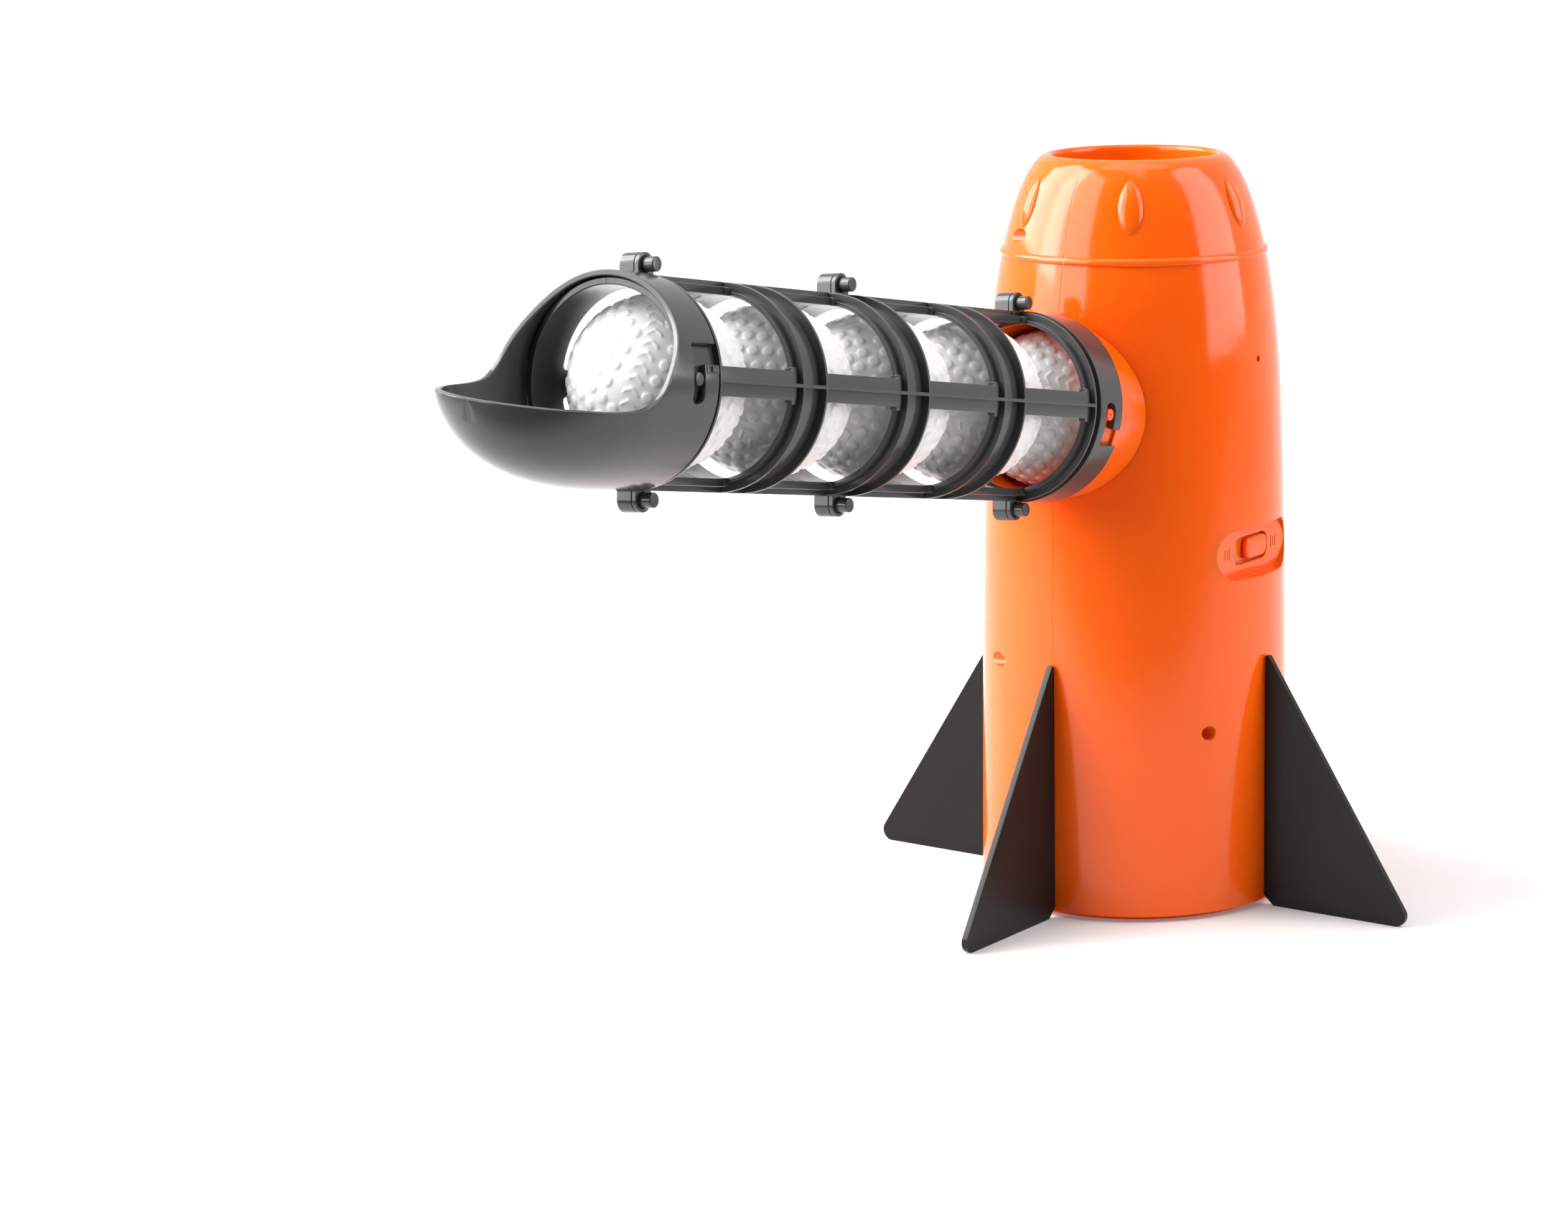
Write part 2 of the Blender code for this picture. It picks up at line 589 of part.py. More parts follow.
def cage_half(near, look):
    side = "near" if near else "far"
    frame = cage_frame(CAGE_TWIST)
    item = turned("cage_" + side, cage_section(), CAGE_STEPS, frame)
    middle = 0.0 if near else math.pi
    quarter = math.pi / 2

    def pads(bm):
        for low, high in bays():
            for centre in (middle - quarter, middle, middle + quarter):
                reach = STRAP_HALF_ANGLE + PAD_OVERHANG
                add_sector(bm, PAD_ROOT, PAD_RADIUS, low + PAD_START, high, centre - reach, centre + reach, 4)

    def ribs(bm):
        half = RIB_HALF_WIDTH
        for low, high in ((RIB_ROOT, FLANGE_RADIUS), (-FLANGE_RADIUS, -RIB_ROOT)):
            add_box(bm, (low, -2 * half, FIRST_FLANGE), (high, 2 * half, LAST_FLANGE))
        low, high = (-FLANGE_RADIUS, -RIB_ROOT) if near else (RIB_ROOT, FLANGE_RADIUS)
        add_box(bm, (-half, low, FIRST_FLANGE), (half, high, LAST_FLANGE))

    def windows(bm):
        for low, high in bays():
            for centre in (middle - quarter / 2, middle + quarter / 2):
                reach = quarter / 2 - STRAP_HALF_ANGLE
                add_sector(bm, CUT_INNER, CUT_OUTER, low + WINDOW_BAND, high - FLANGE_THICKNESS,
                           centre - reach, centre + reach, 8, WINDOW_CORNER)

    def throat(bm):
        low, high = CAGE_THROAT
        add_sector(bm, CUT_INNER, CUT_OUTER, SPIGOT_PEG_PLACE - THROAT_REACH, SPIGOT_PEG_PLACE + THROAT_REACH,
                   middle + low, middle + high, 6)

    def mouth(bm):
        low, high = CAGE_MOUTH
        add_sector(bm, CUT_INNER - 1 * MM, CUT_OUTER + 1 * MM, CAGE_START - 8 * MM, SPIGOT_PEG_PLACE + 2 * MM,
                   middle + low, middle + high, 3)

    def sleeve_peg(bm):
        side = -1 if near else 1
        add_cylinder(bm, BAYONET_PEG_RADIUS, (0, side * PEG_ROOT, SLEEVE_PEG_PLACE),
                     (0, side * PEG_END, SLEEVE_PEG_PLACE), 12)

    shaped(item, side + "_pads", pads, "UNION")
    shaped(item, side + "_ribs", ribs, "UNION")
    shaped(item, side + "_windows", windows)
    shaped(item, side + "_cage_throat", throat)
    shaped(item, side + "_cage_mouth", mouth)
    shaped(item, side + "_cage_split", half_space(near), "INTERSECT")
    shaped(item, side + "_ears", lambda bm: add_ears(bm, LUG_PLACES, near), "UNION")
    shaped(item, side + "_sleeve_peg", sleeve_peg, "UNION")
    if near:
        shaped(item, "near_ear_holes", lambda bm: add_lug_pegs(
            bm, LUG_PLACES, LUG_PEG_RADIUS + GAP, 2 * LUG_THIN, -2 * LUG_THIN))
    else:
        shaped(item, "far_pegs", lambda bm: add_lug_pegs(
            bm, LUG_PLACES, LUG_PEG_RADIUS, LUG_THICK / 2, -LUG_PEG_END), "UNION")
    return finish(item, look)


def scoop_section():
    """Closed cross-section of the full scoop: collar, then a bullet nose, hollow inside."""
    outer, inner = [], []
    for i in range(13):
        angle = math.pi / 2 * i / 12
        outer.append((COLLAR_RADIUS * math.sin(angle), SCOOP_NOSE_START + SCOOP_NOSE_LENGTH * math.cos(angle)))
    for i in range(12, -1, -1):
        angle = math.pi / 2 * i / 12
        inner.append(((COLLAR_RADIUS - SCOOP_WALL) * math.sin(angle),
                      SCOOP_NOSE_START + (SCOOP_NOSE_LENGTH - SCOOP_WALL) * math.cos(angle)))
    outer[0] = (0.0, outer[0][1])
    inner[-1] = (0.0, inner[-1][1])
    return outer + [(COLLAR_RADIUS, SCOOP_START), (COLLAR_RADIUS - SCOOP_WALL, SCOOP_START)] + inner


def arch_outline():
    """Side view of the material cut away above the rim: (x up, z along) points."""
    rise = 60 * MM
    reach = SCOOP_RIM_LEVEL - SCOOP_ARCH
    drop = COLLAR_RADIUS + SCOOP_RIM_DROP
    points = [(rise, SCOOP_ARCH)]
    for i in range(13):
        angle = math.pi / 2 * i / 12
        along = SCOOP_RIM_LEVEL - reach * math.cos(angle) ** 0.9
        up = COLLAR_RADIUS - 2 * MM - (drop - 2 * MM) * math.sin(angle) ** 0.9
        points.append((up, along))
    points += [(-SCOOP_RIM_DROP, 500 * MM), (rise, 500 * MM)]
    return points


def scoop(look):
    """One moulding: a collar with two bayonet slots, and a bowl with a level rim."""
    item = turned("scoop", scoop_section(), CAGE_STEPS, cage_frame(CAGE_TWIST))

    def arch(bm):
        stand = Matrix(((1, 0, 0, 0), (0, 0, 1, 0), (0, 1, 0, 0), (0, 0, 0, 1)))
        add_prism(bm, arch_outline(), -60 * MM, 60 * MM, stand)

    def throats(bm):
        low, high = SCOOP_THROAT
        for middle in (0.0, math.pi):
            add_sector(bm, CUT_INNER, CUT_OUTER, SLEEVE_PEG_PLACE - THROAT_REACH,
                       SLEEVE_PEG_PLACE + THROAT_REACH, middle + low, middle + high, 6)

    def mouths(bm):
        low, high = SCOOP_MOUTH
        for middle in (0.0, math.pi):
            add_sector(bm, CUT_INNER - 1 * MM, CUT_OUTER + 1 * MM, SCOOP_START - 8 * MM,
                       SLEEVE_PEG_PLACE + 2 * MM, middle + low, middle + high, 3)

    shaped(item, "scoop_arch", arch, matrix=cage_frame())
    shaped(item, "scoop_throats", throats)
    shaped(item, "scoop_mouths", mouths)
    return finish(item, look)


def ball(index, look):
    """A thin hollow ball with a moulding vent; balls are numbered from the scoop end down to the tower."""
    place = FIRST_BALL + (BALL_COUNT - index) * BALL_PITCH
    outline = []
    for radius, steps, order in ((BALL_RADIUS, 9, 1), (BALL_RADIUS - BALL_WALL, 7, -1)):
        vent = math.asin(BALL_VENT_RADIUS / radius)
        arc = [vent + (math.pi - vent) * i / steps for i in range(steps)]
        points = [(radius * math.sin(angle), radius * math.cos(angle)) for angle in arc] + [(0.0, -radius)]
        outline += points[::order]
    vent_to_far_side = Matrix.Rotation(-math.pi / 2, 4, "X")
    frame = cage_frame() @ Matrix.Translation((0, 0, place)) @ vent_to_far_side
    return finish(turned("ball_" + str(index), outline, BALL_STEPS, frame), look, 80)


def launch_tube(look):
    low, high = TUBE_SPAN
    outline = [(TUBE_INNER, high), (TUBE_OUTER, high), (TUBE_OUTER, low), (TUBE_INNER, low)]
    item = turned("launch_tube", outline, 32)

    def port(bm):
        add_cylinder(bm, BALL_RADIUS + PORT_PLAY, (0, 0, 0), (0, 0, PORT_REACH), 32)

    shaped(item, "tube_port", port, matrix=cage_frame())
    return finish(item, look)


def launch_cup(look):
    """Dished cup on a rod; a rack is cut along the rod's +X side."""
    low = CUP_BASE
    hollow = BALL_RADIUS + CUP_PLAY
    outline = []
    for i in range(7):
        radius = (CUP_RADIUS - CUP_RIM) * i / 6
        outline.append((radius, CAGE_AXIS_HEIGHT - math.sqrt(hollow ** 2 - radius ** 2)))
    outline += [(CUP_RADIUS, outline[-1][1]), (CUP_RADIUS, low + 2 * MM), (ROD_RADIUS, low),
                (ROD_RADIUS, ROD_FOOT), (0.0, ROD_FOOT)]
    item = turned("launch_cup", outline, 24)

    def ball_way(bm):
        add_cylinder(bm, hollow, (0, 0, 0), (0, 0, PORT_REACH), 32)

    def rack(bm):
        pitch = math.pi * GEAR_MODULE
        height = SECTOR_CENTRE.z - pitch * 1.25      # a gap of the rack faces the gear's centre
        while height < DECK_HEIGHT - pitch:
            add_box(bm, (RACK_FACE - RACK_DEPTH, -ROD_RADIUS - GAP, height),
                    (2 * ROD_RADIUS, ROD_RADIUS + GAP, height + pitch / 2))
            height += pitch

    def rack_face(bm):
        add_box(bm, (RACK_FACE, -ROD_RADIUS - GAP, ROD_FOOT - 2 * MM),
                (2 * ROD_RADIUS, ROD_RADIUS + GAP, DECK_HEIGHT))

    shaped(item, "cup_ball_way", ball_way, matrix=cage_frame())
    shaped(item, "cup_rack_face", rack_face)
    shaped(item, "cup_rack", rack)
    return finish(item, look)


def spring(name, look, radius, low, high, turns, wire):
    """A helical compression spring."""
    curve = bpy.data.curves.new(name, "CURVE")
    curve.dimensions = "3D"
    curve.bevel_depth = wire
    curve.bevel_resolution = 1
    curve.use_fill_caps = True
    line = curve.splines.new("POLY")
    count = turns * 10
    line.points.add(count)
    for i in range(count + 1):
        angle = 2 * math.pi * i / 10
        line.points[i].co = (radius * math.cos(angle), radius * math.sin(angle), low + (high - low) * i / count, 1)
    item = bpy.data.objects.new(name, curve)
    parts.objects.link(item)
    curve.materials.append(look)
    return item


def meshed_turn(teeth, other_teeth, other_turn, direction):
    """Turn that puts a gear's teeth between another's, from whose centre it lies in the given direction."""
    step = 2 * math.pi / teeth
    phase = (direction - other_turn) * other_teeth / (2 * math.pi) - TOOTH_MIDDLE
    return direction + math.pi - (0.5 - phase + TOOTH_MIDDLE) * step


def gear_outline(teeth, kept=None):
    """Straight-sided teeth round a pitch circle; with kept set, only that many teeth stay."""
    pitch_radius = teeth * GEAR_MODULE / 2
    tip = pitch_radius + GEAR_MODULE * 0.9
    root = pitch_radius - GEAR_MODULE * 1.15
    step = 2 * math.pi / teeth
    points = []
    for i in range(teeth):
        start = i * step
        if kept is not None and i >= kept:
            points.append((root * math.cos(start), root * math.sin(start)))
            continue
        for radius, part in ((root, -0.22), (tip, -0.08), (tip, 0.08), (root, 0.22)):
            angle = start + step * (TOOTH_MIDDLE + part)
            points.append((radius * math.cos(angle), radius * math.sin(angle)))
    return points


def gear(name, centre, layers, look, turn=0.0):
    """Coaxial toothed layers (teeth, kept, low, high) along y, bored for their axle."""
    stand = Matrix.Translation(centre) @ Matrix.Rotation(math.pi / 2, 4, "X")
    bm = bmesh.new()
    teeth, kept, low, high = layers[0]
    add_prism(bm, gear_outline(teeth, kept), -high, -low)
    item = mesh_object(name, bm, stand @ Matrix.Rotation(turn, 4, "Z"))
    for index, (teeth, kept, low, high) in enumerate(layers[1:]):
        shaped(item, name + "_layer_" + str(index), lambda bm: add_prism(
            bm, gear_outline(teeth, kept), -high, -low), "UNION")
    shaped(item, name + "_bore", lambda bm: add_cylinder(
        bm, AXLE_RADIUS + GAP, (0, 0, -40 * MM), (0, 0, 40 * MM), 12))
    return finish(item, look)


def bar(name, radius, start, end, look, steps=16):
    bm = bmesh.new()
    add_cylinder(bm, radius, start, end, steps)
    return finish(mesh_object(name, bm), look)


def block(name, low, high, look):
    bm = bmesh.new()
    add_box(bm, low, high)
    return finish(mesh_object(name, bm), look)


def polar(centre, distance, angle):
    return centre + Vector((math.cos(angle), 0, math.sin(angle))) * distance


def drive(looks):
    wheel_centre = polar(SECTOR_CENTRE, (SECTOR_TEETH + PINION_TEETH) * GEAR_MODULE / 2 + GEAR_PLAY,
                         WHEEL_BEARING)
    pinion_centre = polar(wheel_centre, (WHEEL_TEETH + PINION_TEETH) * GEAR_MODULE / 2 + GEAR_PLAY,
                          PINION_BEARING)
    motor_start = PLATE_FAR + PLATE_THICKNESS + GAP
    sector_turn = -math.pi / 2 - TOOTH_MIDDLE * 2 * math.pi / SECTOR_TEETH
    wheel_turn = meshed_turn(PINION_TEETH, SECTOR_TEETH, sector_turn, WHEEL_BEARING)
    pinion_turn = meshed_turn(PINION_TEETH, WHEEL_TEETH, wheel_turn, PINION_BEARING)
    wheel_far = WHEEL_NEAR + GEAR_WIDTH
    gear("sector_gear", SECTOR_CENTRE,
         ((SECTOR_TEETH, None, GEAR_NEAR, GEAR_SPLIT),
          (SECTOR_TEETH, SECTOR_TEETH // 2, GEAR_SPLIT - OVERLAP, SECTOR_FAR)),
         looks["nylon"], sector_turn)
    gear("reduction_gear", wheel_centre,
         ((PINION_TEETH, None, GEAR_NEAR, WHEEL_NEAR + OVERLAP), (WHEEL_TEETH, None, WHEEL_NEAR, wheel_far)),
         looks["nylon"], wheel_turn)
    for name, centre in (("sector_axle", SECTOR_CENTRE), ("reduction_axle", wheel_centre)):
        bar(name, AXLE_RADIUS, centre + Vector((0, PLATE_NEAR - PLATE_THICKNESS - AXLE_PROUD, 0)),
            centre + Vector((0, PLATE_FAR + PLATE_THICKNESS + AXLE_PROUD, 0)), looks["steel"], 12)
    stand = Matrix.Translation(pinion_centre) @ Matrix.Rotation(math.pi / 2, 4, "X")
    bm = bmesh.new()
    add_prism(bm, gear_outline(PINION_TEETH), -wheel_far, -WHEEL_NEAR)
    pinion = mesh_object("motor_pinion", bm, stand @ Matrix.Rotation(pinion_turn, 4, "Z"))
    shaped(pinion, "motor_shaft", lambda bm: add_cylinder(
        bm, SHAFT_RADIUS, (0, 0, -WHEEL_NEAR - OVERLAP), (0, 0, -motor_start - SHAFT_DEPTH), 12), "UNION")
    finish(pinion, looks["brass"])
    bm = bmesh.new()
    add_cylinder(bm, MOTOR_RADIUS, pinion_centre + Vector((0, motor_start, 0)),
                 pinion_centre + Vector((0, motor_start + MOTOR_LENGTH, 0)), 24)
    motor = mesh_object("motor", bm)
    shaped(motor, "motor_bore", lambda bm: add_cylinder(
        bm, SHAFT_RADIUS + GAP, pinion_centre,
        pinion_centre + Vector((0, motor_start + SHAFT_DEPTH + 2 * MM, 0)), 12))
    finish(motor, looks["steel"])
    for name, low in (("gearbox_plate_near", PLATE_NEAR - PLATE_THICKNESS), ("gearbox_plate_far", PLATE_FAR)):
        bm = bmesh.new()
        add_box(bm, (PLATE_SPAN[0], low, PLATE_FOOT), (PLATE_SPAN[1], low + PLATE_THICKNESS, DECK_HEIGHT - GAP))
        plate = mesh_object(name, bm)

        def bores(bm):
            for centre, radius in ((SECTOR_CENTRE, AXLE_RADIUS), (wheel_centre, AXLE_RADIUS),
                                   (pinion_centre, SHAFT_RADIUS)):
                middle = centre + Vector((0, low, 0))
                add_cylinder(bm, radius + GAP, middle - Vector((0, 5 * MM, 0)), middle + Vector((0, 9 * MM, 0)), 12)

        shaped(plate, name + "_bores", bores)
        finish(plate, looks["inner"])


def deck(look):
    bm = bmesh.new()
    add_cylinder(bm, DECK_RADIUS, (0, 0, DECK_HEIGHT), (0, 0, DECK_HEIGHT + DECK_THICKNESS), 40)
    item = mesh_object("mechanism_deck", bm)

    def seat(bm):
        add_cylinder(bm, TUBE_OUTER + SEAT_WALL, (0, 0, DECK_HEIGHT + OVERLAP), (0, 0, TUBE_SPAN[0] - GAP), 32)

    def hollow(bm):
        add_cylinder(bm, TUBE_INNER, (0, 0, DECK_HEIGHT + DECK_THICKNESS), (0, 0, CUP_ROOM_TOP), 32)

    shaped(item, "deck_seat", seat, "UNION")
    shaped(item, "deck_hollow", hollow)
    shaped(item, "deck_rod_hole", lambda bm: add_cylinder(
        bm, ROD_RADIUS + 2 * GAP, (0, 0, ROD_HOLE_SPAN[0]), (0, 0, ROD_HOLE_SPAN[1]), 24))
    return finish(item, look)


def base(looks):
    bm = bmesh.new()
    add_cylinder(bm, BASE_RADIUS, (0, 0, SHELL_FOOT), (0, 0, BASE_TOP), 48)
    plate = mesh_object("base_plate", bm)

    def foot(bm):
        add_cylinder(bm, FOOT_RADIUS, (0, 0, 0), (0, 0, FOOT_TOP), 48)

    def door_room(bm):
        spare = Vector((GAP, GAP, 2 * BASE_TOP))
        add_box(bm, DOOR_LOW - spare, DOOR_HIGH + spare)

    shaped(plate, "base_foot", foot, "UNION")
    shaped(plate, "base_door_room", door_room)
    finish(plate, looks["orange"])
    block("battery_door", DOOR_LOW, DOOR_HIGH, looks["orange"])


def battery_pack(looks):
    bm = bmesh.new()
    add_box(bm, BOX_LOW, BOX_HIGH)
    box = mesh_object("battery_box", bm)

    def room(bm):
        wall = Vector((BOX_WALL, BOX_WALL, BOX_WALL))
        low = BOX_LOW + wall
        add_box(bm, (low.x, low.y, 0), BOX_HIGH - wall)

    shaped(box, "battery_room", room)
    finish(box, looks["inner"])
    for index, place in enumerate(CELL_PLACES):
        half = CELL_LENGTH / 2
        bm = bmesh.new()
        shoulder = half - CELL_TIP_LENGTH
        add_cylinder(bm, CELL_RADIUS, (place, -half, CELL_HEIGHT), (place, shoulder, CELL_HEIGHT), 16)
        cell = mesh_object("cell_" + str(index + 1), bm)
        shaped(cell, "cell_tip_" + str(index + 1), lambda bm: add_cylinder(
            bm, CELL_TIP_RADIUS, (place, shoulder - CELL_TIP_LENGTH, CELL_HEIGHT),
            (place, half, CELL_HEIGHT), 12), "UNION")
        finish(cell, looks["cell"])
    reach = CELL_LENGTH / 2 + GAP
    for name, y in (("contact_near", -reach - CONTACT_THICKNESS), ("contact_far", reach)):
        block(name, (CONTACT_LOW[0], y, CONTACT_LOW[1]),
              (CONTACT_HIGH[0], y + CONTACT_THICKNESS, CONTACT_HIGH[1]), looks["steel"])


def switch(looks):
    front = -(RECESS_FLOOR - RECESS_BACK - GAP)
    half = SWITCH_BODY / 2
    block("switch_body", (-half.x, front, SWITCH_HEIGHT - half.z),
          (half.x, front + SWITCH_BODY.y, SWITCH_HEIGHT + half.z), looks["inner"])
    knob = KNOB_SIZE / 2
    place = Vector((KNOB_SHIFT, front - GAP - KNOB_SIZE.y, SWITCH_HEIGHT))
    bm = bmesh.new()
    add_box(bm, (-knob.x, 0, -knob.z), (knob.x, KNOB_SIZE.y, knob.z))
    finish(mesh_object("switch_knob", bm, Matrix.Translation(place)), looks["orange"])


def shell_screws(look):
    for index, (degrees, value) in enumerate(SHELL_SCREWS):
        height = value * MM
        out = bearing(degrees)
        lean = dome_normal(height)
        aim = out * math.cos(lean) + Vector((0, 0, math.sin(lean)))
        face = out * smooth_radius(height) + Vector((0, 0, height))
        foot = face - aim * (SCREW_RECESS_DEPTH - GAP)
        bm = bmesh.new()
        add_cylinder(bm, SCREW_RECESS_RADIUS - GAP, foot, foot + aim * SCREW_HEAD_HEIGHT, 12, SCREW_HEAD_TOP)
        item = mesh_object("shell_screw_" + str(index + 1), bm)
        finish(item, look)


def build():
    start_clean()
    looks = {
        "orange": material("orange_gloss", (1.0, 0.20, 0.012), 0.22),
        "grey": material("grey_gloss", (0.105, 0.105, 0.115), 0.25),
        "black": material("fin_black", (0.018, 0.017, 0.017), 0.35),
        "ball": material("ball_white", (0.86, 0.86, 0.85), 0.3),
        "inner": material("inner_plastic", (0.05, 0.05, 0.055), 0.5),
        "nylon": material("gear_nylon", (0.85, 0.83, 0.76), 0.45),
        "steel": material("steel", (0.62, 0.62, 0.64), 0.3, 1.0),
        "brass": material("brass", (0.78, 0.57, 0.25), 0.3, 1.0),
        "cell": material("cell_wrap", (0.05, 0.12, 0.35), 0.35),
    }
    for near in (True, False):
        shell_half(near, looks["orange"])
        cage_half(near, looks["grey"])
    scoop(looks["grey"])
    for index in range(4):
        fin(index, looks["black"])
    for index in range(1, BALL_COUNT + 1):
        ball(index, looks["ball"])
    launch_tube(looks["orange"])
    launch_cup(looks["inner"])
    spring("launch_spring", looks["steel"], SPRING_RADIUS, *SPRING_SPAN, SPRING_TURNS, SPRING_WIRE)
    drive(looks)
    deck(looks["inner"])
    base(looks)
    battery_pack(looks)
    switch(looks)
    shell_screws(looks["steel"])


build()
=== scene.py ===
"""Visual model of the rocket-shaped ball popper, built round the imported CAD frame.

Lengths are in millimetres and scaled once by MM. "Near" is the -Y side. Along the ball cage, s is the
distance from the tower's axis, and an angle is counted from the near side upward.
"""
import json
from math import acos, asin, atan2, cos, hypot, pi, sin, sqrt, tan

import bmesh
import bpy
import numpy as np
from mathutils import Matrix, Vector
from mathutils.kdtree import KDTree


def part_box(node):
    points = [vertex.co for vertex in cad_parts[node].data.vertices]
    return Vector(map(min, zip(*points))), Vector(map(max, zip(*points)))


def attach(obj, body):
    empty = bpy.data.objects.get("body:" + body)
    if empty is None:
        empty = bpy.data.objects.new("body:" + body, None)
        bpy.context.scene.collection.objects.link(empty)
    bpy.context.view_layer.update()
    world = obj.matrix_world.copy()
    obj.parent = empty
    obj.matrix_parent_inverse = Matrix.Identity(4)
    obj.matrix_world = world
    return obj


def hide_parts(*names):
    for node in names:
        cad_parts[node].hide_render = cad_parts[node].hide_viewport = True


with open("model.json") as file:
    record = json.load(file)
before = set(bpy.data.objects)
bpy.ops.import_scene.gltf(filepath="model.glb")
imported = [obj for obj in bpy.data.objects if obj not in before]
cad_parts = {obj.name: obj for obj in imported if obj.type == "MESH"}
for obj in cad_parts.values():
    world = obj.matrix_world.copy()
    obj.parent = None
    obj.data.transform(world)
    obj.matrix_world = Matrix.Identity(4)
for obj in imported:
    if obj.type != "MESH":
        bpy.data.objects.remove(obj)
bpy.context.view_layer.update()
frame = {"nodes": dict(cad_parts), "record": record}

MM = 0.001
DEG = pi / 180
SMOOTH_BELOW = 35 * DEG  # edges sharper than this stay sharp
EDGE_SOFT = 0.293  # share of a bevel at which its middle step lies
R0 = 38.0  # flat sheets that wrap the cage are drawn in arc lengths at this radius
SEAM = 0.1  # half the gap shown where the cage's halves meet
TOWER_SEAM = 0.05  # the same for the tower

# ---- tower: outline and lip as (height, radius)
OUTLINE = ((2.8, 70.5), (122, 69.5), (173, 68.6), (215, 67.5), (248, 65.9), (273, 63.4), (290, 60.8),
           (306, 57.3), (321, 52.8), (331, 48.4), (336.5, 44.9))
LIP = ((338.6, 43.0), (340, 40.9), (340.6, 39.4), (340.55, 38.2), (340, 37.3), (339, 36.9), (329, 36.9))
PROFILE_STEP, BEAD_STEP, BEAD_ZONE = 0.5, 0.1, 2.0
BEAD_HEIGHT, BEAD_HALF, BEAD_PROUD = 297.5, 1.7, 1.2
WALL, SHELL_BEVEL = 2.2, 0.14
THIN_FROM, THIN_SPAN, THIN_LEAST = 325, 15, 0.35  # the wall thins toward the lip
TOWER_ARC = 70.5  # the shell's sheet is drawn in arc lengths at this radius
SLOPE_STEP = 0.6
SHELL_COLUMNS = 80
SHELL_ROWS = ((8, 7.5, 36), (276, 1.5, 13), (295.5, 0.25, 17), (300, 1.5, 24))  # first height, step, count
LIP_FROM, LIP_ROWS = 336.0, 26
SPIGOT_INNER, SPIGOT_OUTER, SPIGOT_START, SPIGOT_END = 36.2, 38.0, 34.0, 94.6
NECK_OUTER, NECK_END = 39.4, 78.2
SPIGOT_PEG = (2.6, 36.8, 41.6, 88.0)  # radius, foot, top and s of the bayonet peg
SCREWS = ((60.3, 86.0), (119.7, 86.0), (-30.6, 113.7), (-149.4, 113.7), (-32.6, 306.2), (-147.4, 306.2))
SCREW_BORE, SCREW_WALL, SCREW_SUNK = 3.2, 4.3, 9.0
HEAD_R, HEAD_HEIGHT, HEAD_BEVEL, HEAD_DOME = 2.85, 1.7, 0.18, 0.05
HEAD_CORE = (2.6, 0.55)  # radius and height of the disc that closes the cross recess
CROSS_REACH, CROSS_HALF = 1.75, 0.42
BORE_RIM, BORE_SLANT = 0.45, 0.2  # round a bore the wall runs along it, with this least slope
DIMPLE = (-1.2, 251.4, 1.45, 1.3)  # x, height, radius and depth of the small hole over the switch
DIMPLE_WALL = 1.2
WELL_BELOW, WELL_INSIDE, WELL_PLUG = 0.9, 0.3, 1.0
BUMPS = (30, 90, 150, -30, -90, -150)
BUMP_Z, BUMP_WIDE, BUMP_LONG, BUMP_PROUD, BUMP_SUNK = 321.0, 5.6, 12.6, 2.1, 0.12
BUMP_POINT, BUMP_ROUND = 0.62, 0.75  # exponents of the bump's outline and of its crown
BUMP_COLUMNS, BUMP_ROWS = 20, 36

# ---- switch
SWITCH_Z = 165.0
RECESS = (60.0, 23.0)
RECESS_FLOOR, RECESS_WALL, RECESS_BACK, RECESS_TOP = 61.5, 2.4, 2.2, 72.0
RECESS_EDGE = 0.55  # the recess's wall ends this far below the tower's face
POCKET = (29.0, 12.2)
POCKET_CORNER, POCKET_LINING, POCKET_TOP = 4.6, 2.0, 61.0
POCKET_BACK = (58.86, 58.98)  # between the switch body's face and the knob's
MARKS = (-20.6, 20.2)  # middles of the small ribs at either end
MARK_PITCH, MARK_HALF, MARK_PROUD, MARK_FOOT = 2.0, 0.3, 0.22, 0.5
MARK_HEIGHTS = (2.6, 2.0, 2.6)
KNOB_CORNER, KNOB_BEVEL = 4.0, 1.3

# ---- liner of the mouth, and fins
LINER_R, LINER_BORE, LINER_WALL = 37.9, 37.0, 1.8
LINER_SPAN = (150.3, 328.0)
PORT_REACH, PORT_LOW, PORT_HIGH = 57.0, 190.465, 263.934  # the ball's way: half arc and heights
FIN_REACH, FIN_HEIGHT, FIN_ROOT, FIN_TIP = 142.3, 116.5, 70.3, 5.0
FIN_PEAK, FIN_FOOT, FIN_HALF, FIN_BEVEL = 1.8, (5.0, 4.5), 1.5, 0.28

# ---- cage
TILT = 9.73 * DEG
TWIST = 5.0 * DEG
AXIS_Z = 221.1
FIRST, PITCH, PAIR, LAST = 99.8, 71.55, 15.2, 367.6
FLANGE_R, FLANGE_HALF, FLANGE_FOOT = 41.3, 0.7, 0.3
WALL_IN, WALL_OUT, PAD_R, COLLAR_R = 36.2, 38.0, 39.4, 41.8
WALL_SPAN = (96.0, 372.0)
CAGE_COLUMNS = 60
STRAP, STRAP_LAP, WING = 8.1 * DEG, 0.004, 10.7 * DEG
WING_START, WING_END = 2.2, 5.2
WINDOW_START, WINDOW_END, WINDOW_CORNERS = 3.6, 0.2, (1.5, 1.5, 3.0, 3.0)
RIB_TOP, RIB_FOOT, RIB_HALF, RIB_PAST = 41.35, 37.4, 0.75, 0.3
SEAM_RIB = 1.5
STOP_RING = (94.9, 96.5)
SLEEVE_R, SLEEVE_END = 39.0, 386.0
SLEEVE_PEG = (2.6, 38.6, 41.7, 381.6)  # as SPIGOT_PEG
COLLAR_IN, COLLAR_START, COLLAR_END = 38.45, 78.6, 96.2
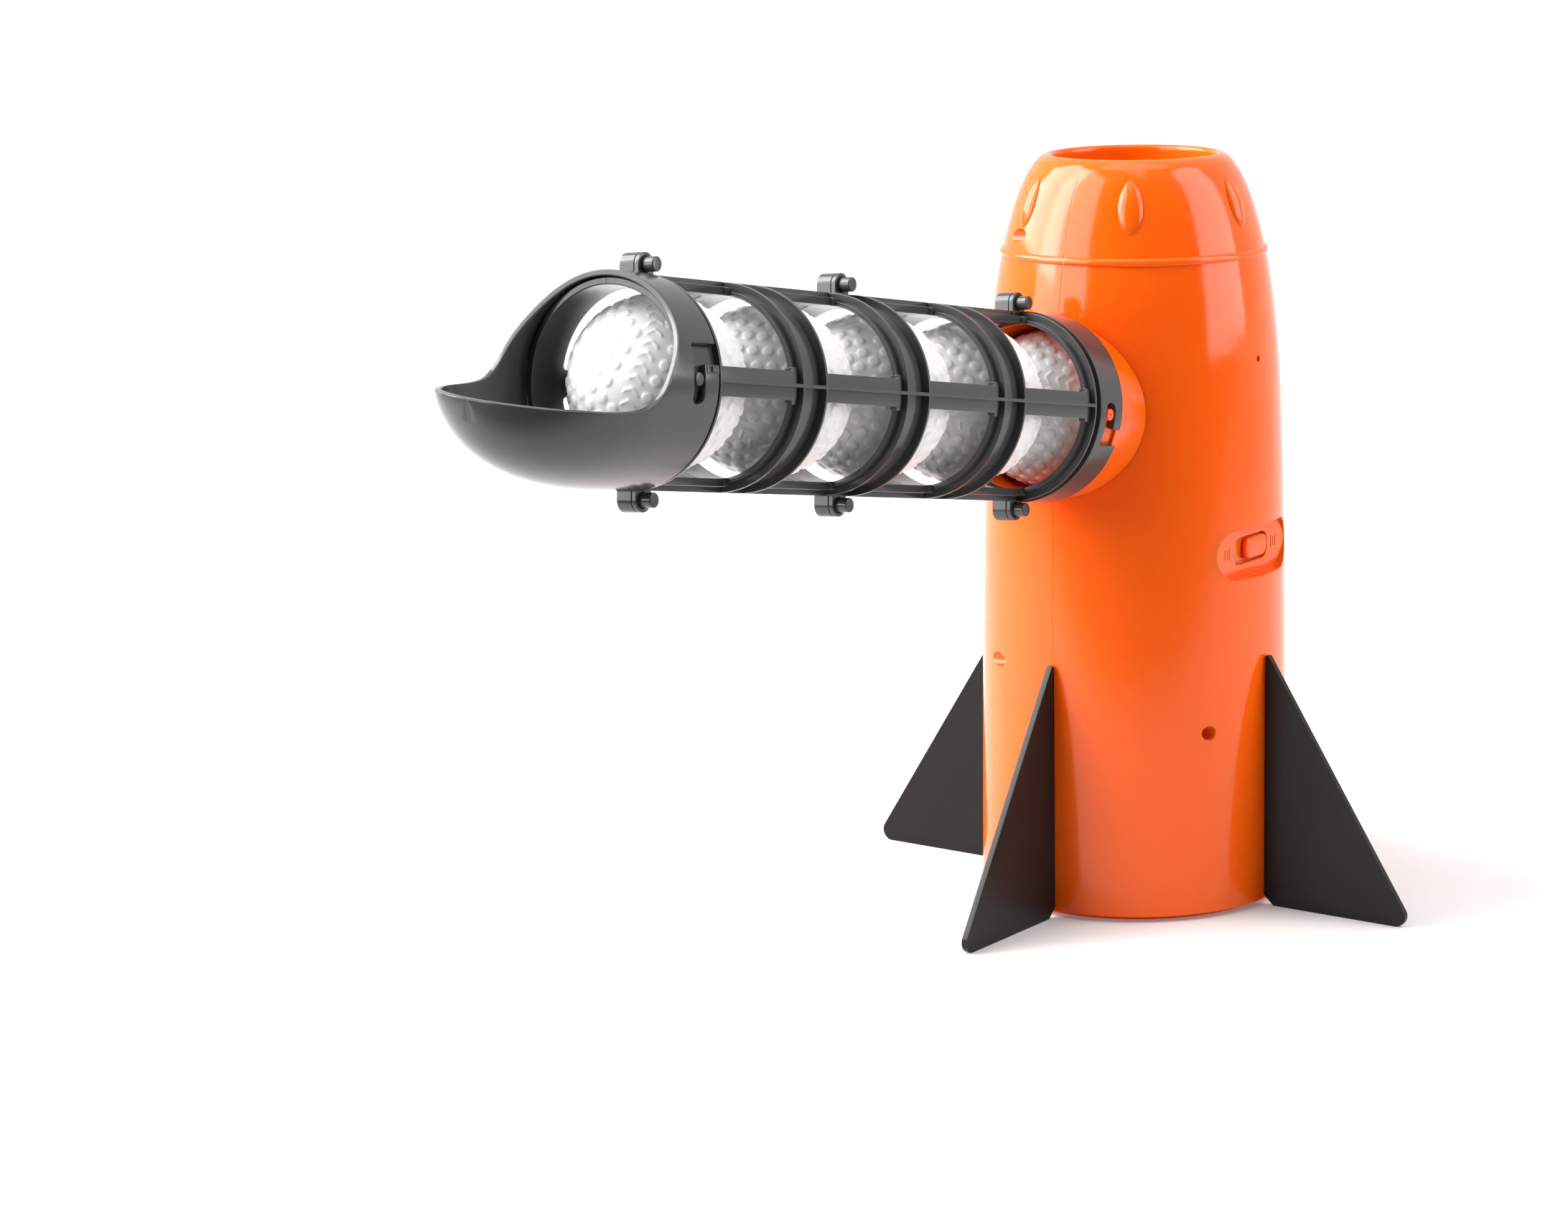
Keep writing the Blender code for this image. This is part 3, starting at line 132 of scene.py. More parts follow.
COLLAR_SLOT = ((-24, 78.6, 0.7), (-24, 91.6, 0.5), (2, 91.6, 3.2), (2, 84.6, 3.2), (-14, 84.6, 0.9),
               (-14, 78.6, 0.9))  # degrees, s and corner radius round the bayonet slot
LUGS = (101.6, 235.1, 364.6)
EAR_FOOT, EAR_TOP, EAR_LENGTH = 36.9, 49.8, 9.6
EAR_THICK, EAR_THIN, EAR_HOLE = 7.2, 2.2, 3.3
LUG_PEG, LUG_PEG_ROOT, LUG_PEG_END = 3.0, 3.0, -7.6

# ---- scoop
SCOOP_START, NOSE_START, NOSE_LENGTH, SCOOP_WALL = 369.7, 383.5, 81.6, 2.4
NOSE_POWERS = (2.8, 2.4)  # exponents of the blunt nose: along the axis and across it
RIM_TURN = -4.0 * DEG  # the scoop rests turned a little, its near rim lower
RIM_TAIL = 450.0  # from here the rim is spaced toward the nose's lowest point
RIM = ((388.0, 41.8), (388.05, 39.0), (388.5, 33.5), (389.6, 27.5), (391.6, 21.5), (394.5, 15.5),
       (397.8, 9.0), (400.3, 3.8), (403.0, -0.8), (407.0, -4.6), (412.0, -6.7), (420.0, -8.0),
       (430.0, -8.7), (445.0, -9.3), (456.0, -9.7), (464.6, -9.9))  # side view as (s, height)
SLOT_LOW, SLOT_HIGH = 378.3, 384.9
SLOT_MOUTH, SLOT_THROAT, SLOT_FAR = 8, -13, 19  # bearings of the slot's sides in degrees
SLOT_CORNERS = (0.0, 0.6, 3.0, 3.0, 1.6, 0.0)
SCOOP_COLUMNS = 144
LATCH = ((3.0, 7.7, 369.9, 377.4, 0.5, -0.9, 1.2, 0.3),
         (3.7, 7.1, 370.8, 374.8, 0.4, -0.3, 1.3, 0.4))  # degrees, s, corner, foot, height and bevel

# ---- balls
BALL_R, BALL_FIRST, BALL_PITCH = 35.0, 71.4, 70.8
BALL_SPINS = ((0.15, -0.25, 2.8), (0.5, 0.45, 2.7), (-0.5, 0.8, 3.25), (0.9, -0.35, 2.5), (-0.3, 0.55, 3.5))
BALL_CLEAR = 0.03  # the highest dot stays this far inside the ball's radius
SEAM_PINCH, SEAM_POINTS = 0.44, 4000
STITCH_PITCH, STITCH_SLOPE, STITCH_REACH, STITCH_FADE = 5.0, 0.7, 3.4, 0.35
STITCH_HALF_LINE, STITCH_PROUD = 0.6, 0.6
DOT_COUNT, DOT_RADIUS, DOT_PROUD, DOT_CLEAR, DOT_FLANK, DOT_MARGIN = 370, 2.3, 0.6, 5.4, 0.65, 0.2
MOULD_LINE, MOULD_PROUD = 0.35, 0.1


# ---- mesh helpers
def to_world(cage_twist=0.0):
    """Cage frame to object frame, in millimetres: local z along the cage, local x up, local y far."""
    lean = Matrix.Rotation(TILT - pi / 2, 4, "Y")
    return Matrix.Translation((0, 0, AXIS_Z)) @ lean @ Matrix.Rotation(cage_twist, 4, "Z")


def lookup(where, places, values):
    return float(np.interp(where, places, values))


def slope(t, step, run, across, along):
    """The direction of a profile at arc length t, taken over a step to either side."""
    ahead, behind = min(t + step, float(run[-1])), max(t - step, 0.0)
    da = lookup(ahead, run, across) - lookup(behind, run, across)
    dl = lookup(ahead, run, along) - lookup(behind, run, along)
    length = hypot(da, dl)
    return da / length, dl / length


def soften(points):
    """The open line with its corners cut, its ends kept."""
    for _ in range(3):
        softer = [points[0]]
        for a, b in zip(points, points[1:]):
            softer.append((a[0] * 0.75 + b[0] * 0.25, a[1] * 0.75 + b[1] * 0.25))
            softer.append((a[0] * 0.25 + b[0] * 0.75, a[1] * 0.25 + b[1] * 0.75))
        softer.append(points[-1])
        points = softer
    return points


def round_corners(points, radii, steps=5):
    """Polygon with each corner replaced by an arc; radii is one number or one per corner."""
    count = len(points)
    if not hasattr(radii, "__len__"):
        radii = [radii] * count
    out = []
    for i in range(count):
        here = Vector(points[i])
        back = Vector(points[i - 1]) - here
        ahead = Vector(points[(i + 1) % count]) - here
        radius = radii[i]
        turn = back.angle(ahead) if back.length and ahead.length else pi
        if radius < 1e-6 or turn > pi - 0.02:
            out.append(tuple(here))
            continue
        reach = min(radius / tan(turn / 2), back.length * 0.49, ahead.length * 0.49)
        start = here + back.normalized() * reach
        end = here + ahead.normalized() * reach
        for k in range(steps + 1):
            t = k / steps
            out.append(tuple(start * (1 - t) ** 2 + here * 2 * t * (1 - t) + end * t ** 2))
    return out


def area(loop):
    return 0.5 * sum(a[0] * b[1] - b[0] * a[1] for a, b in zip(loop, loop[1:] + loop[:1]))


def inset(loop, distance):
    """The loop moved to its left by a distance, corners mitred."""
    count = len(loop)
    out = []
    for i in range(count):
        a, b, c = Vector(loop[i - 1]), Vector(loop[i]), Vector(loop[(i + 1) % count])
        d1, d2 = (b - a).normalized(), (c - b).normalized()
        n1, n2 = Vector((-d1.y, d1.x)), Vector((-d2.y, d2.x))
        n = n1 + n2
        scale = max(n.dot(n1), 0.5) if n.length > 1e-6 else 1.0
        out.append(tuple(b + n * (distance / scale)))
    return out


def clean_loop(loop, least=0.01):
    """The loop without points that lie closer together than least."""
    out = []
    for p in loop:
        if not out or (Vector(p) - Vector(out[-1])).length > least:
            out.append(tuple(p))
    if (Vector(out[0]) - Vector(out[-1])).length <= least:
        out.pop()
    return out


def slice_at(bm, axis, cut, clear=0):
    """Cut the flat mesh where x (axis 0) or y (axis 1) is cut; clear -1 or 1 drops one side."""
    normal = Vector((1, 0, 0)) if axis == 0 else Vector((0, 1, 0))
    crossed = list(bm.faces)
    if not clear:
        crossed = [f for f in crossed
                   if min(v.co[axis] for v in f.verts) < cut < max(v.co[axis] for v in f.verts)]
    if not crossed:
        return
    geom = set(crossed)
    for f in crossed:
        geom.update(f.edges)
        geom.update(f.verts)
    bmesh.ops.bisect_plane(bm, geom=list(geom), dist=1e-5, plane_co=normal * cut, plane_no=normal,
                           clear_inner=clear < 0, clear_outer=clear > 0)


def edge_wall(bm, loop, levels):
    """A plate's edge along one loop, through (inset, depth) levels; returns its lowest and highest ring."""
    rings = []
    for side, depth in levels:
        points = inset(loop, side) if side else loop
        rings.append([bm.verts.new((x, y, depth)) for x, y in points])
    count = len(loop)
    for low_ring, high_ring in zip(rings, rings[1:]):
        for i in range(count):
            j = (i + 1) % count
            bm.faces.new((low_ring[i], low_ring[j], high_ring[j], high_ring[i]))
    return rings[0], rings[-1]


def plate(outline, holes, low, high, bevel):
    """A flat plate with holes and rounded edges."""
    bm = bmesh.new()
    soft = EDGE_SOFT * bevel
    levels = ((bevel, low), (soft, low + soft), (0.0, low + bevel),
              (0.0, high - bevel), (soft, high - soft), (bevel, high))
    caps = ([], [])
    for index, loop in enumerate([outline] + list(holes)):
        loop = clean_loop(loop)
        if (area(loop) > 0) != (index == 0):
            loop = loop[::-1]
        for cap, rim in zip(caps, edge_wall(bm, loop, levels)):
            cap += [bm.edges.get(pair) for pair in zip(rim, rim[1:] + rim[:1])]
    for cap in caps:
        bmesh.ops.triangle_fill(bm, use_beauty=True, use_dissolve=False, edges=cap)
    return bm


def sheet(outline, holes, low, high, bevel, place, x_cuts=(), y_cuts=(), trims=()):
    """A plate that is sliced along the given lines and then bent by place(x, y, depth)."""
    bm = plate(outline, holes, low, high, bevel)
    for axis, cuts in ((0, x_cuts), (1, y_cuts)):
        for cut in cuts:
            slice_at(bm, axis, cut)
    for cut, clear in trims:
        slice_at(bm, 0, cut, clear)
    for v in bm.verts:
        v.co = place(*v.co)
    if trims:
        bmesh.ops.remove_doubles(bm, verts=bm.verts, dist=1e-4)
    return bm


def lathe(profile, start=0.0, end=2 * pi, steps=64):
    """A closed (radius, along) profile swept round z; angles run from the near side upward."""
    bm = bmesh.new()
    full = end - start > 2 * pi - 1e-6
    columns = []
    for k in range(steps if full else steps + 1):
        angle = start + (end - start) * k / steps
        east, north = sin(angle), -cos(angle)
        columns.append([bm.verts.new((r * east, r * north, z)) for r, z in profile])
    count = len(profile)
    pairs = list(zip(columns, columns[1:]))
    if full:
        pairs.append((columns[-1], columns[0]))
    for a, b in pairs:
        for i in range(count):
            j = (i + 1) % count
            bm.faces.new((a[i], a[j], b[j], b[i]))
    if not full:
        bm.faces.new(columns[0])
        bm.faces.new(columns[-1][::-1])
    bmesh.ops.remove_doubles(bm, verts=bm.verts, dist=1e-5)
    return bm


def ring(r_low, r_high, s_low, s_high, rounding, arc):
    """A lathe-turned band with rounded edges over an arc."""
    corners = [(r_low, s_low), (r_high, s_low), (r_high, s_high), (r_low, s_high)]
    return lathe(round_corners(corners, rounding, 3), *arc, 72)


def arc_line(x, y, radius, start, end, steps):
    angles = [start + (end - start) * i / steps for i in range(steps + 1)]
    return [(x + radius * cos(a), y + radius * sin(a)) for a in angles]


def disc_loop(x, y, radius, steps):
    return arc_line(x, y, radius, 0.0, 2 * pi, steps)[:-1]


def peg(radius, start, end, rounding, dimple=0.0):
    """A round peg between two points, its far end rounded and, if asked, dimpled."""
    start, end = Vector(start), Vector(end)
    length = (end - start).length
    top = [(0.0, length - dimple)]
    if dimple:
        top += [(radius * 0.22, length - dimple), (radius * 0.34, length)]
    side = arc_line(radius - rounding, length - rounding, rounding, pi / 2, 0.0, 3)
    bm = lathe(top + side + [(radius, 0.0), (0.0, 0.0)], steps=32)
    turn = (end - start).to_track_quat("Z", "Y").to_matrix().to_4x4()
    bm.transform(Matrix.Translation(start) @ turn)
    return bm


def brick(low, high, rounding):
    """A box between two corners with rounded edges."""
    bm = bmesh.new()
    low, high = Vector(low), Vector(high)
    bmesh.ops.create_cube(bm, size=1.0, matrix=Matrix.Translation((low + high) / 2)
                          @ Matrix.Diagonal((*(high - low), 1.0)))
    bmesh.ops.bevel(bm, geom=list(bm.edges), offset=rounding, segments=2, affect="EDGES", profile=0.5)
    return bm


def stadium(width, height):
    """A rectangle whose short ends are half circles."""
    radius = height / 2
    half = width / 2 - radius
    right = arc_line(half, 0, radius, -pi / 2, pi / 2, 20)
    return right + arc_line(-half, 0, radius, pi / 2, pi * 1.5, 20)


def rounded_box(width, height, radius):
    x, y = width / 2, height / 2
    return round_corners([(-x, -y), (x, -y), (x, y), (-x, y)], radius, 6)


def to_mesh(name, bm):
    mesh = bpy.data.meshes.new(name)
    bm.to_mesh(mesh)
    bm.free()
    return mesh


def add_object(name, data):
    item = bpy.data.objects.new(name, data)
    bpy.context.scene.collection.objects.link(item)
    return item


def settle(item, body, node):
    """Let the object ride on a body and replace a CAD node."""
    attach(item, body)
    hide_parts(node)


class Piece:
    """Collects meshes in millimetres and becomes one object."""

    def __init__(self, name):
        self.name = name
        self.bm = bmesh.new()

    def add(self, bm, matrix=None):
        """Take in a closed mesh with its faces turned outward."""
        if matrix is not None:
            bm.transform(matrix)
        bmesh.ops.recalc_face_normals(bm, faces=bm.faces)
        if bm.calc_volume(signed=True) < 0:
            bmesh.ops.reverse_faces(bm, faces=bm.faces)
        mesh = to_mesh("part", bm)
        self.bm.from_mesh(mesh)
        bpy.data.meshes.remove(mesh)

    def build(self, body, slot, node):
        self.bm.transform(Matrix.Scale(MM, 4))
        mesh = to_mesh(self.name, self.bm)
        mesh.shade_smooth()
        mesh.set_sharp_from_angle(angle=SMOOTH_BELOW)
        mesh.materials.append(LOOKS[slot])
        item = add_object(self.name, mesh)
        weighted = item.modifiers.new("weighted", "WEIGHTED_NORMAL")
        weighted.keep_sharp = True
        weighted.weight = 60
        settle(item, body, node)


# ---- materials
def principled(name):
    made = bpy.data.materials.new(name)
    made.use_nodes = True
    place = made.node_tree.nodes.new("ShaderNodeTexCoord")
    return made, made.node_tree, made.node_tree.nodes["Principled BSDF"], place.outputs["Object"]


def add_noise(tree, vector, scale, detail):
    node = tree.nodes.new("ShaderNodeTexNoise")
    node.inputs["Scale"].default_value = scale
    node.inputs["Detail"].default_value = detail
    tree.links.new(vector, node.inputs["Vector"])
    return node.outputs["Fac"]


def add_range(tree, value, source, target):
    """The value mapped from one (low, high) pair to another."""
    node = tree.nodes.new("ShaderNodeMapRange")
    numbers = {"From Min": source[0], "From Max": source[1], "To Min": target[0], "To Max": target[1]}
    for socket, number in numbers.items():
        node.inputs[socket].default_value = number
    tree.links.new(value, node.inputs["Value"])
    return node.outputs["Result"]


def add_blend(tree, factor, first, second):
    """A mix from the first colour to the second."""
    node = tree.nodes.new("ShaderNodeMix")
    node.data_type = "RGBA"
    node.inputs["A"].default_value = (*first, 1.0)
    node.inputs["B"].default_value = (*second, 1.0)
    tree.links.new(factor, node.inputs["Factor"])
    return node


def add_toward(tree, vector, direction):
    """How far the vector reaches in a direction."""
    node = tree.nodes.new("ShaderNodeVectorMath")
    node.operation = "DOT_PRODUCT"
    node.inputs[1].default_value = direction
    tree.links.new(vector, node.inputs[0])
    return node.outputs["Value"]


def plastic(name, colour, deep, roughness, grain=0.02, grain_scale=900.0, mottle=0.25,
            subsurface=0.0, radius=(1.0, 0.4, 0.2), depth=0.004, specular=0.5):
    """Moulded plastic: slow colour drift, fine surface grain, roughness that wanders a little."""
    made, tree, shader, place = principled(name)
    amount = add_range(tree, add_noise(tree, place, 14.0, 3.0), (0.35, 0.65), (0.0, mottle))
    blend = add_blend(tree, amount, colour, deep)
    tree.links.new(blend.outputs["Result"], shader.inputs["Base Color"])
    spread = (roughness - 0.025, roughness + 0.025)
    smear = add_range(tree, add_noise(tree, place, 55.0, 4.0), (0.3, 0.7), spread)
    tree.links.new(smear, shader.inputs["Roughness"])
    bump = tree.nodes.new("ShaderNodeBump")
    bump.inputs["Strength"].default_value = grain
    bump.inputs["Distance"].default_value = 0.0004
    tree.links.new(add_noise(tree, place, grain_scale, 2.0), bump.inputs["Height"])
    tree.links.new(bump.outputs["Normal"], shader.inputs["Normal"])
    shader.inputs["Specular IOR Level"].default_value = specular
    if subsurface:
        shader.inputs["Subsurface Weight"].default_value = subsurface
        shader.inputs["Subsurface Radius"].default_value = radius
        shader.inputs["Subsurface Scale"].default_value = depth
    return made


def metal(name, colour, roughness):
    """Drawn or turned metal with fine streaks in its roughness and colour."""
    made, tree, shader, place = principled(name)
    shader.inputs["Metallic"].default_value = 1.0
    stretch = tree.nodes.new("ShaderNodeMapping")
    stretch.inputs["Scale"].default_value = (1.0, 1.0, 30.0)
    tree.links.new(place, stretch.inputs["Vector"])
    streaks = add_noise(tree, stretch.outputs["Vector"], 120.0, 3.0)
    blend = add_blend(tree, streaks, colour, [c * 0.7 for c in colour])
    tree.links.new(blend.outputs["Result"], shader.inputs["Base Color"])
    spread = add_range(tree, streaks, (0.0, 1.0), (roughness * 0.7, roughness * 1.3))
    tree.links.new(spread, shader.inputs["Roughness"])
    return made


LOOKS = {
    "orange_gloss": plastic("orange_gloss", (1.0, 0.108, 0.002), (0.99, 0.1, 0.0015), 0.12, grain=0.01,
                            mottle=0.5, subsurface=0.45, radius=(1.0, 0.22, 0.03), depth=0.009,
                            specular=0.36),
    "grey_gloss": plastic("grey_gloss", (0.05, 0.05, 0.0525), (0.044, 0.044, 0.046), 0.16, grain=0.015,
                          mottle=0.5, specular=0.42),
    "fin_black": plastic("fin_black", (0.009, 0.008, 0.0078), (0.007, 0.0063, 0.006), 0.3, grain=0.04,
                         grain_scale=1400.0, mottle=0.6, specular=0.2),
    "ball_white": plastic("ball_white", (0.74, 0.735, 0.73), (0.7, 0.695, 0.69), 0.3, grain=0.03,
                          grain_scale=500.0, mottle=0.5, subsurface=0.7, radius=(1.0, 0.96, 0.93),
                          depth=0.005, specular=0.4),
    "inner_plastic": plastic("inner_plastic", (0.05, 0.05, 0.055), (0.036, 0.036, 0.04), 0.5, grain=0.12,
                             mottle=0.6),
    "gear_nylon": plastic("gear_nylon", (0.83, 0.80, 0.72), (0.76, 0.72, 0.63), 0.42, grain=0.06, mottle=0.5,
                          subsurface=0.2, radius=(1.0, 0.9, 0.7), depth=0.002),
    "steel": metal("steel", (0.62, 0.62, 0.64), 0.28),
    "brass": metal("brass", (0.78, 0.57, 0.25), 0.25),
    "cell_wrap": plastic("cell_wrap", (0.03, 0.10, 0.32), (0.02, 0.07, 0.25), 0.25, grain=0.03, mottle=0.6),
}


# ---- tower
def tower_radius(z):
    """Smooth curve through the tower's outline."""
    i = 0
    while i < len(OUTLINE) - 2 and z > OUTLINE[i + 1][0]:
        i += 1
    low, high = OUTLINE[i], OUTLINE[i + 1]
    before = OUTLINE[max(i - 1, 0)]
    after = OUTLINE[min(i + 2, len(OUTLINE) - 1)]
    span = high[0] - low[0]
    t = min(max((z - low[0]) / span, 0.0), 1.0)
    m0 = (high[1] - before[1]) / (high[0] - before[0]) * span
    m1 = (after[1] - low[1]) / (after[0] - low[0]) * span
    return ((2 * t ** 3 - 3 * t ** 2 + 1) * low[1] + (t ** 3 - 2 * t ** 2 + t) * m0
            + (3 * t ** 2 - 2 * t ** 3) * high[1] + (t ** 3 - t ** 2) * m1)


def tower_profile():
    """Dense outer profile as (radius, height), up the side, over the lip and into the mouth."""
    points = []
    z, top = OUTLINE[0][0], OUTLINE[-1][0]
    while z < top:
        off = abs(z - BEAD_HEIGHT)
        bead = BEAD_PROUD * sqrt(max(1 - (off / BEAD_HALF) ** 2, 0.0))
        points.append((tower_radius(z) + bead, z))
        z += BEAD_STEP if off < BEAD_ZONE else PROFILE_STEP
    return points + soften([(tower_radius(top), top)] + [(r, z) for z, r in LIP])


PROFILE = np.array(tower_profile())
PROFILE_T = np.concatenate(([0.0], np.cumsum(np.linalg.norm(np.diff(PROFILE, axis=0), axis=1))))
SMOOTH = np.array([(tower_radius(z) if z < OUTLINE[-1][0] else r, z) for r, z in PROFILE])
TOP_T = float(PROFILE_T[-1])


def profile_t(z):
    """Arc length up the profile at a height on the tower's side."""
    side = PROFILE[:, 1][: int(np.argmax(PROFILE[:, 1]))]
    return lookup(z, side, PROFILE_T[: len(side)])


def on_tower(side, bores=()):
    """Bend for sheets: x is the arc from the cage's direction at TOWER_ARC, y the profile's arc length.

    Round a bore (x, height, radius) the wall's thickness runs along y, as the bore does.
    """
    def place(x, y, depth):
        r, z = lookup(y, PROFILE_T, PROFILE[:, 0]), lookup(y, PROFILE_T, PROFILE[:, 1])
        dr, dz = slope(y, SLOPE_STEP, PROFILE_T, SMOOTH[:, 0], SMOOTH[:, 1])
        angle = x / TOWER_ARC
        proud = depth - WALL
        if proud < 0 and z > THIN_FROM:
            proud *= max(THIN_LEAST, 1.0 - (z - THIN_FROM) / THIN_SPAN)
        for bore_x, bore_z, radius in bores:
            if hypot(-r * cos(angle) - bore_x, z - bore_z) < radius + BORE_RIM:
                slant = max(sin(angle) * dz, BORE_SLANT)
                return Vector((-r * cos(angle), -side * (r * sin(angle) + proud / slant), z))
        r += proud * dz
        return Vector((-r * cos(angle), -side * r * sin(angle), z - proud * dr))
    return place


def spigot_notch(steps=48):
    """Where the spigot's wall meets the tower's side, bottom to top, in the sheet's flat coordinates."""
    cage = to_world()
    rho = (SPIGOT_INNER + NECK_OUTER) / 2
    points = []
    for k in range(steps + 1):
        alpha = -pi / 2 + pi * k / steps
        s = tower_radius(AXIS_Z)
        for _ in range(40):
            p = cage @ Vector((rho * sin(alpha), -rho * cos(alpha), s))
            s += tower_radius(p.z) - hypot(p.x, p.y)
        points.append((max(atan2(-p.y, -p.x) * TOWER_ARC, TOWER_SEAM), profile_t(p.z)))
    return points


def screw_axis(degrees, z):
    """Where a screw's bore, which runs along y, meets the tower: x and distance from the middle plane."""
    angle = abs(degrees) * DEG
    return -tower_radius(z) * cos(angle), tower_radius(z) * sin(angle)


def bore_loop(x, z, radius):
    """A bore's round mouth in the sheet's flat coordinates."""
    return [(acos(-px / tower_radius(pz)) * TOWER_ARC, profile_t(pz))
            for px, pz in disc_loop(x, z, radius, 32)]


def recess_loop():
    """The switch recess's mouth in the sheet's flat coordinates."""
    return [((pi / 2 + asin(x / tower_radius(SWITCH_Z + z))) * TOWER_ARC, profile_t(SWITCH_Z + z))
            for x, z in stadium(*RECESS)]


def wells_of(near):
    """One shell half's bores: x, height, bore, outer radius and how far out the bottom lies."""
    wells = []
    for degrees, z in SCREWS:
        if (degrees > 0) == near:
            x, reach = screw_axis(degrees, z)
            wells.append((x, z, SCREW_BORE, SCREW_WALL, reach - SCREW_SUNK))
    if near:
        x, z, radius, depth = DIMPLE
        wells.append((x, z, radius, radius + DIMPLE_WALL, tower_radius(z) - depth))
    return wells


def add_well(piece, side, x, z, radius, wall, bottom):
    """The tube under a bore, from just below the face to its closed bottom."""
    def held(px, reach, pz):
        shrink = min((tower_radius(pz) - WELL_INSIDE) / hypot(px, reach), 1.0)
        return Vector((px * shrink, -side * reach * shrink, pz))

    def tube(px, py, depth):
        face = sqrt(max(tower_radius(z + py) ** 2 - (x + px) ** 2, 0.0)) - WELL_BELOW
        return held(x + px, bottom + (face - bottom) * depth, z + py)

    def plug(px, py, depth):
        return held(x + px, bottom - WELL_PLUG + depth, z + py)

    circle = disc_loop(0, 0, wall, 32)
    piece.add(sheet(circle, [disc_loop(0, 0, radius - 0.05, 32)], 0.0, 1.0, 0.01, tube))
    piece.add(sheet(circle, [], 0.0, WELL_PLUG, 0.1, plug))


def add_bump(piece, side, degrees):
    """A pointed oval swelling on the dome."""
    place = on_tower(side)
    middle_x, middle_y = abs(degrees) * DEG * TOWER_ARC, profile_t(BUMP_Z)
    spread = TOWER_ARC / tower_radius(BUMP_Z)
    bm = bmesh.new()
    rows = []
    for j in range(BUMP_ROWS + 1):
        v = sin((j / BUMP_ROWS - 0.5) * pi)
        row = []
        for i in range(BUMP_COLUMNS + 1):
            u = sin((i / BUMP_COLUMNS - 0.5) * pi)
            x = u * BUMP_WIDE * (1 - v * v) ** BUMP_POINT
            rise = ((1 - u * u) * (1 - v * v)) ** BUMP_ROUND
            depth = WALL - BUMP_SUNK + (BUMP_PROUD + BUMP_SUNK) * rise
            row.append(bm.verts.new(place(middle_x + x * spread, middle_y + v * BUMP_LONG, depth)))
        rows.append(row)
    for low, high in zip(rows, rows[1:]):
        for i in range(BUMP_COLUMNS):
            bm.faces.new((low[i], low[i + 1], high[i + 1], high[i]))
    bmesh.ops.remove_doubles(bm, verts=bm.verts, dist=1e-4)
    bmesh.ops.holes_fill(bm, edges=bm.edges, sides=0)
    piece.add(bm)


def add_spigot(piece, side):
    """Half of the tube that the cage turns on, with its neck and bayonet peg."""
    cage = to_world()
    low = -pi / 2 if side > 0 else pi / 2
    gap = TOWER_SEAM / SPIGOT_OUTER
    for outer, end in ((NECK_OUTER, NECK_END), (SPIGOT_OUTER, SPIGOT_END)):
        piece.add(ring(SPIGOT_INNER, outer, SPIGOT_START, end, 0.4, (low + gap, low + pi - gap)), cage)
    radius, foot, top, s = SPIGOT_PEG
    piece.add(peg(radius, (0, -side * foot, s), (0, -side * top, s), 0.45, 0.5), cage)


def tray_place(x, y, depth):
    """Sheets seen from the near side: y up, depth outward."""
    return Vector((x, -depth, SWITCH_Z + y))


def wider(size, margin):
    return size[0] + margin, size[1] + margin


def add_switch_tray(piece):
    """The switch's sunk stadium, its pocket for the knob and the small ribs at either end."""
    def to_shell(x, y, depth):
        face = sqrt(max(tower_radius(SWITCH_Z + y) ** 2 - x * x, 0.0)) - RECESS_EDGE
        return tray_place(x, y, min(depth, face))

    floor = RECESS_FLOOR
    piece.add(sheet(stadium(*wider(RECESS, RECESS_WALL)), [stadium(*wider(RECESS, -0.1))],
                    floor - RECESS_BACK, RECESS_TOP, 0.1, to_shell))
    piece.add(sheet(stadium(*wider(RECESS, 1.0)), [rounded_box(*POCKET, POCKET_CORNER)],
                    floor - RECESS_BACK, floor, 0.5, tray_place))
    around = rounded_box(*wider(POCKET, POCKET_LINING), POCKET_CORNER + 1.0)
    within = rounded_box(*wider(POCKET, -0.05), POCKET_CORNER)
    piece.add(sheet(around, [within], POCKET_BACK[0], POCKET_TOP, 0.02, tray_place))
    piece.add(sheet(around, [], *POCKET_BACK, 0.02, tray_place))
    for middle in MARKS:
        for k, height in enumerate(MARK_HEIGHTS):
            x = middle + (k - 1) * MARK_PITCH
            piece.add(brick((x - MARK_HALF, -floor - MARK_PROUD, SWITCH_Z - height),
                            (x + MARK_HALF, -floor + MARK_FOOT, SWITCH_Z + height), 0.15))


def shell_half(near):
    """One half of the tower: skin with its holes, spigot, bumps, wells and, if near, the switch tray."""
    side = 1 if near else -1
    wells = wells_of(near)
    holes = [bore_loop(*well[:3]) for well in wells]
    if near:
        holes.append(recess_loop())
    half_turn = pi * TOWER_ARC
    outline = [(TOWER_SEAM, 0.0)] + spigot_notch()
    outline += [(TOWER_SEAM, TOP_T), (half_turn - TOWER_SEAM, TOP_T), (half_turn - TOWER_SEAM, 0.0)]
    columns = [half_turn * k / SHELL_COLUMNS for k in range(1, SHELL_COLUMNS)]
    rows = [profile_t(first + step * k) for first, step, count in SHELL_ROWS for k in range(count)]
    lip_t = profile_t(LIP_FROM)
    rows = sorted(rows) + [lip_t + (TOP_T - lip_t) * k / LIP_ROWS for k in range(1, LIP_ROWS)]
    bend = on_tower(side, [well[:3] for well in wells])
    piece = Piece("shell_near_skin" if near else "shell_far_skin")
    piece.add(sheet(outline, holes, 0.0, WALL, SHELL_BEVEL, bend, columns, rows))
    add_spigot(piece, side)
    for degrees in BUMPS:
        if (degrees > 0) == near:
            add_bump(piece, side, degrees)
    for well in wells:
        add_well(piece, side, *well)
    if near:
        add_switch_tray(piece)
    piece.build("tower", "orange_gloss", "shell_near" if near else "shell_far")


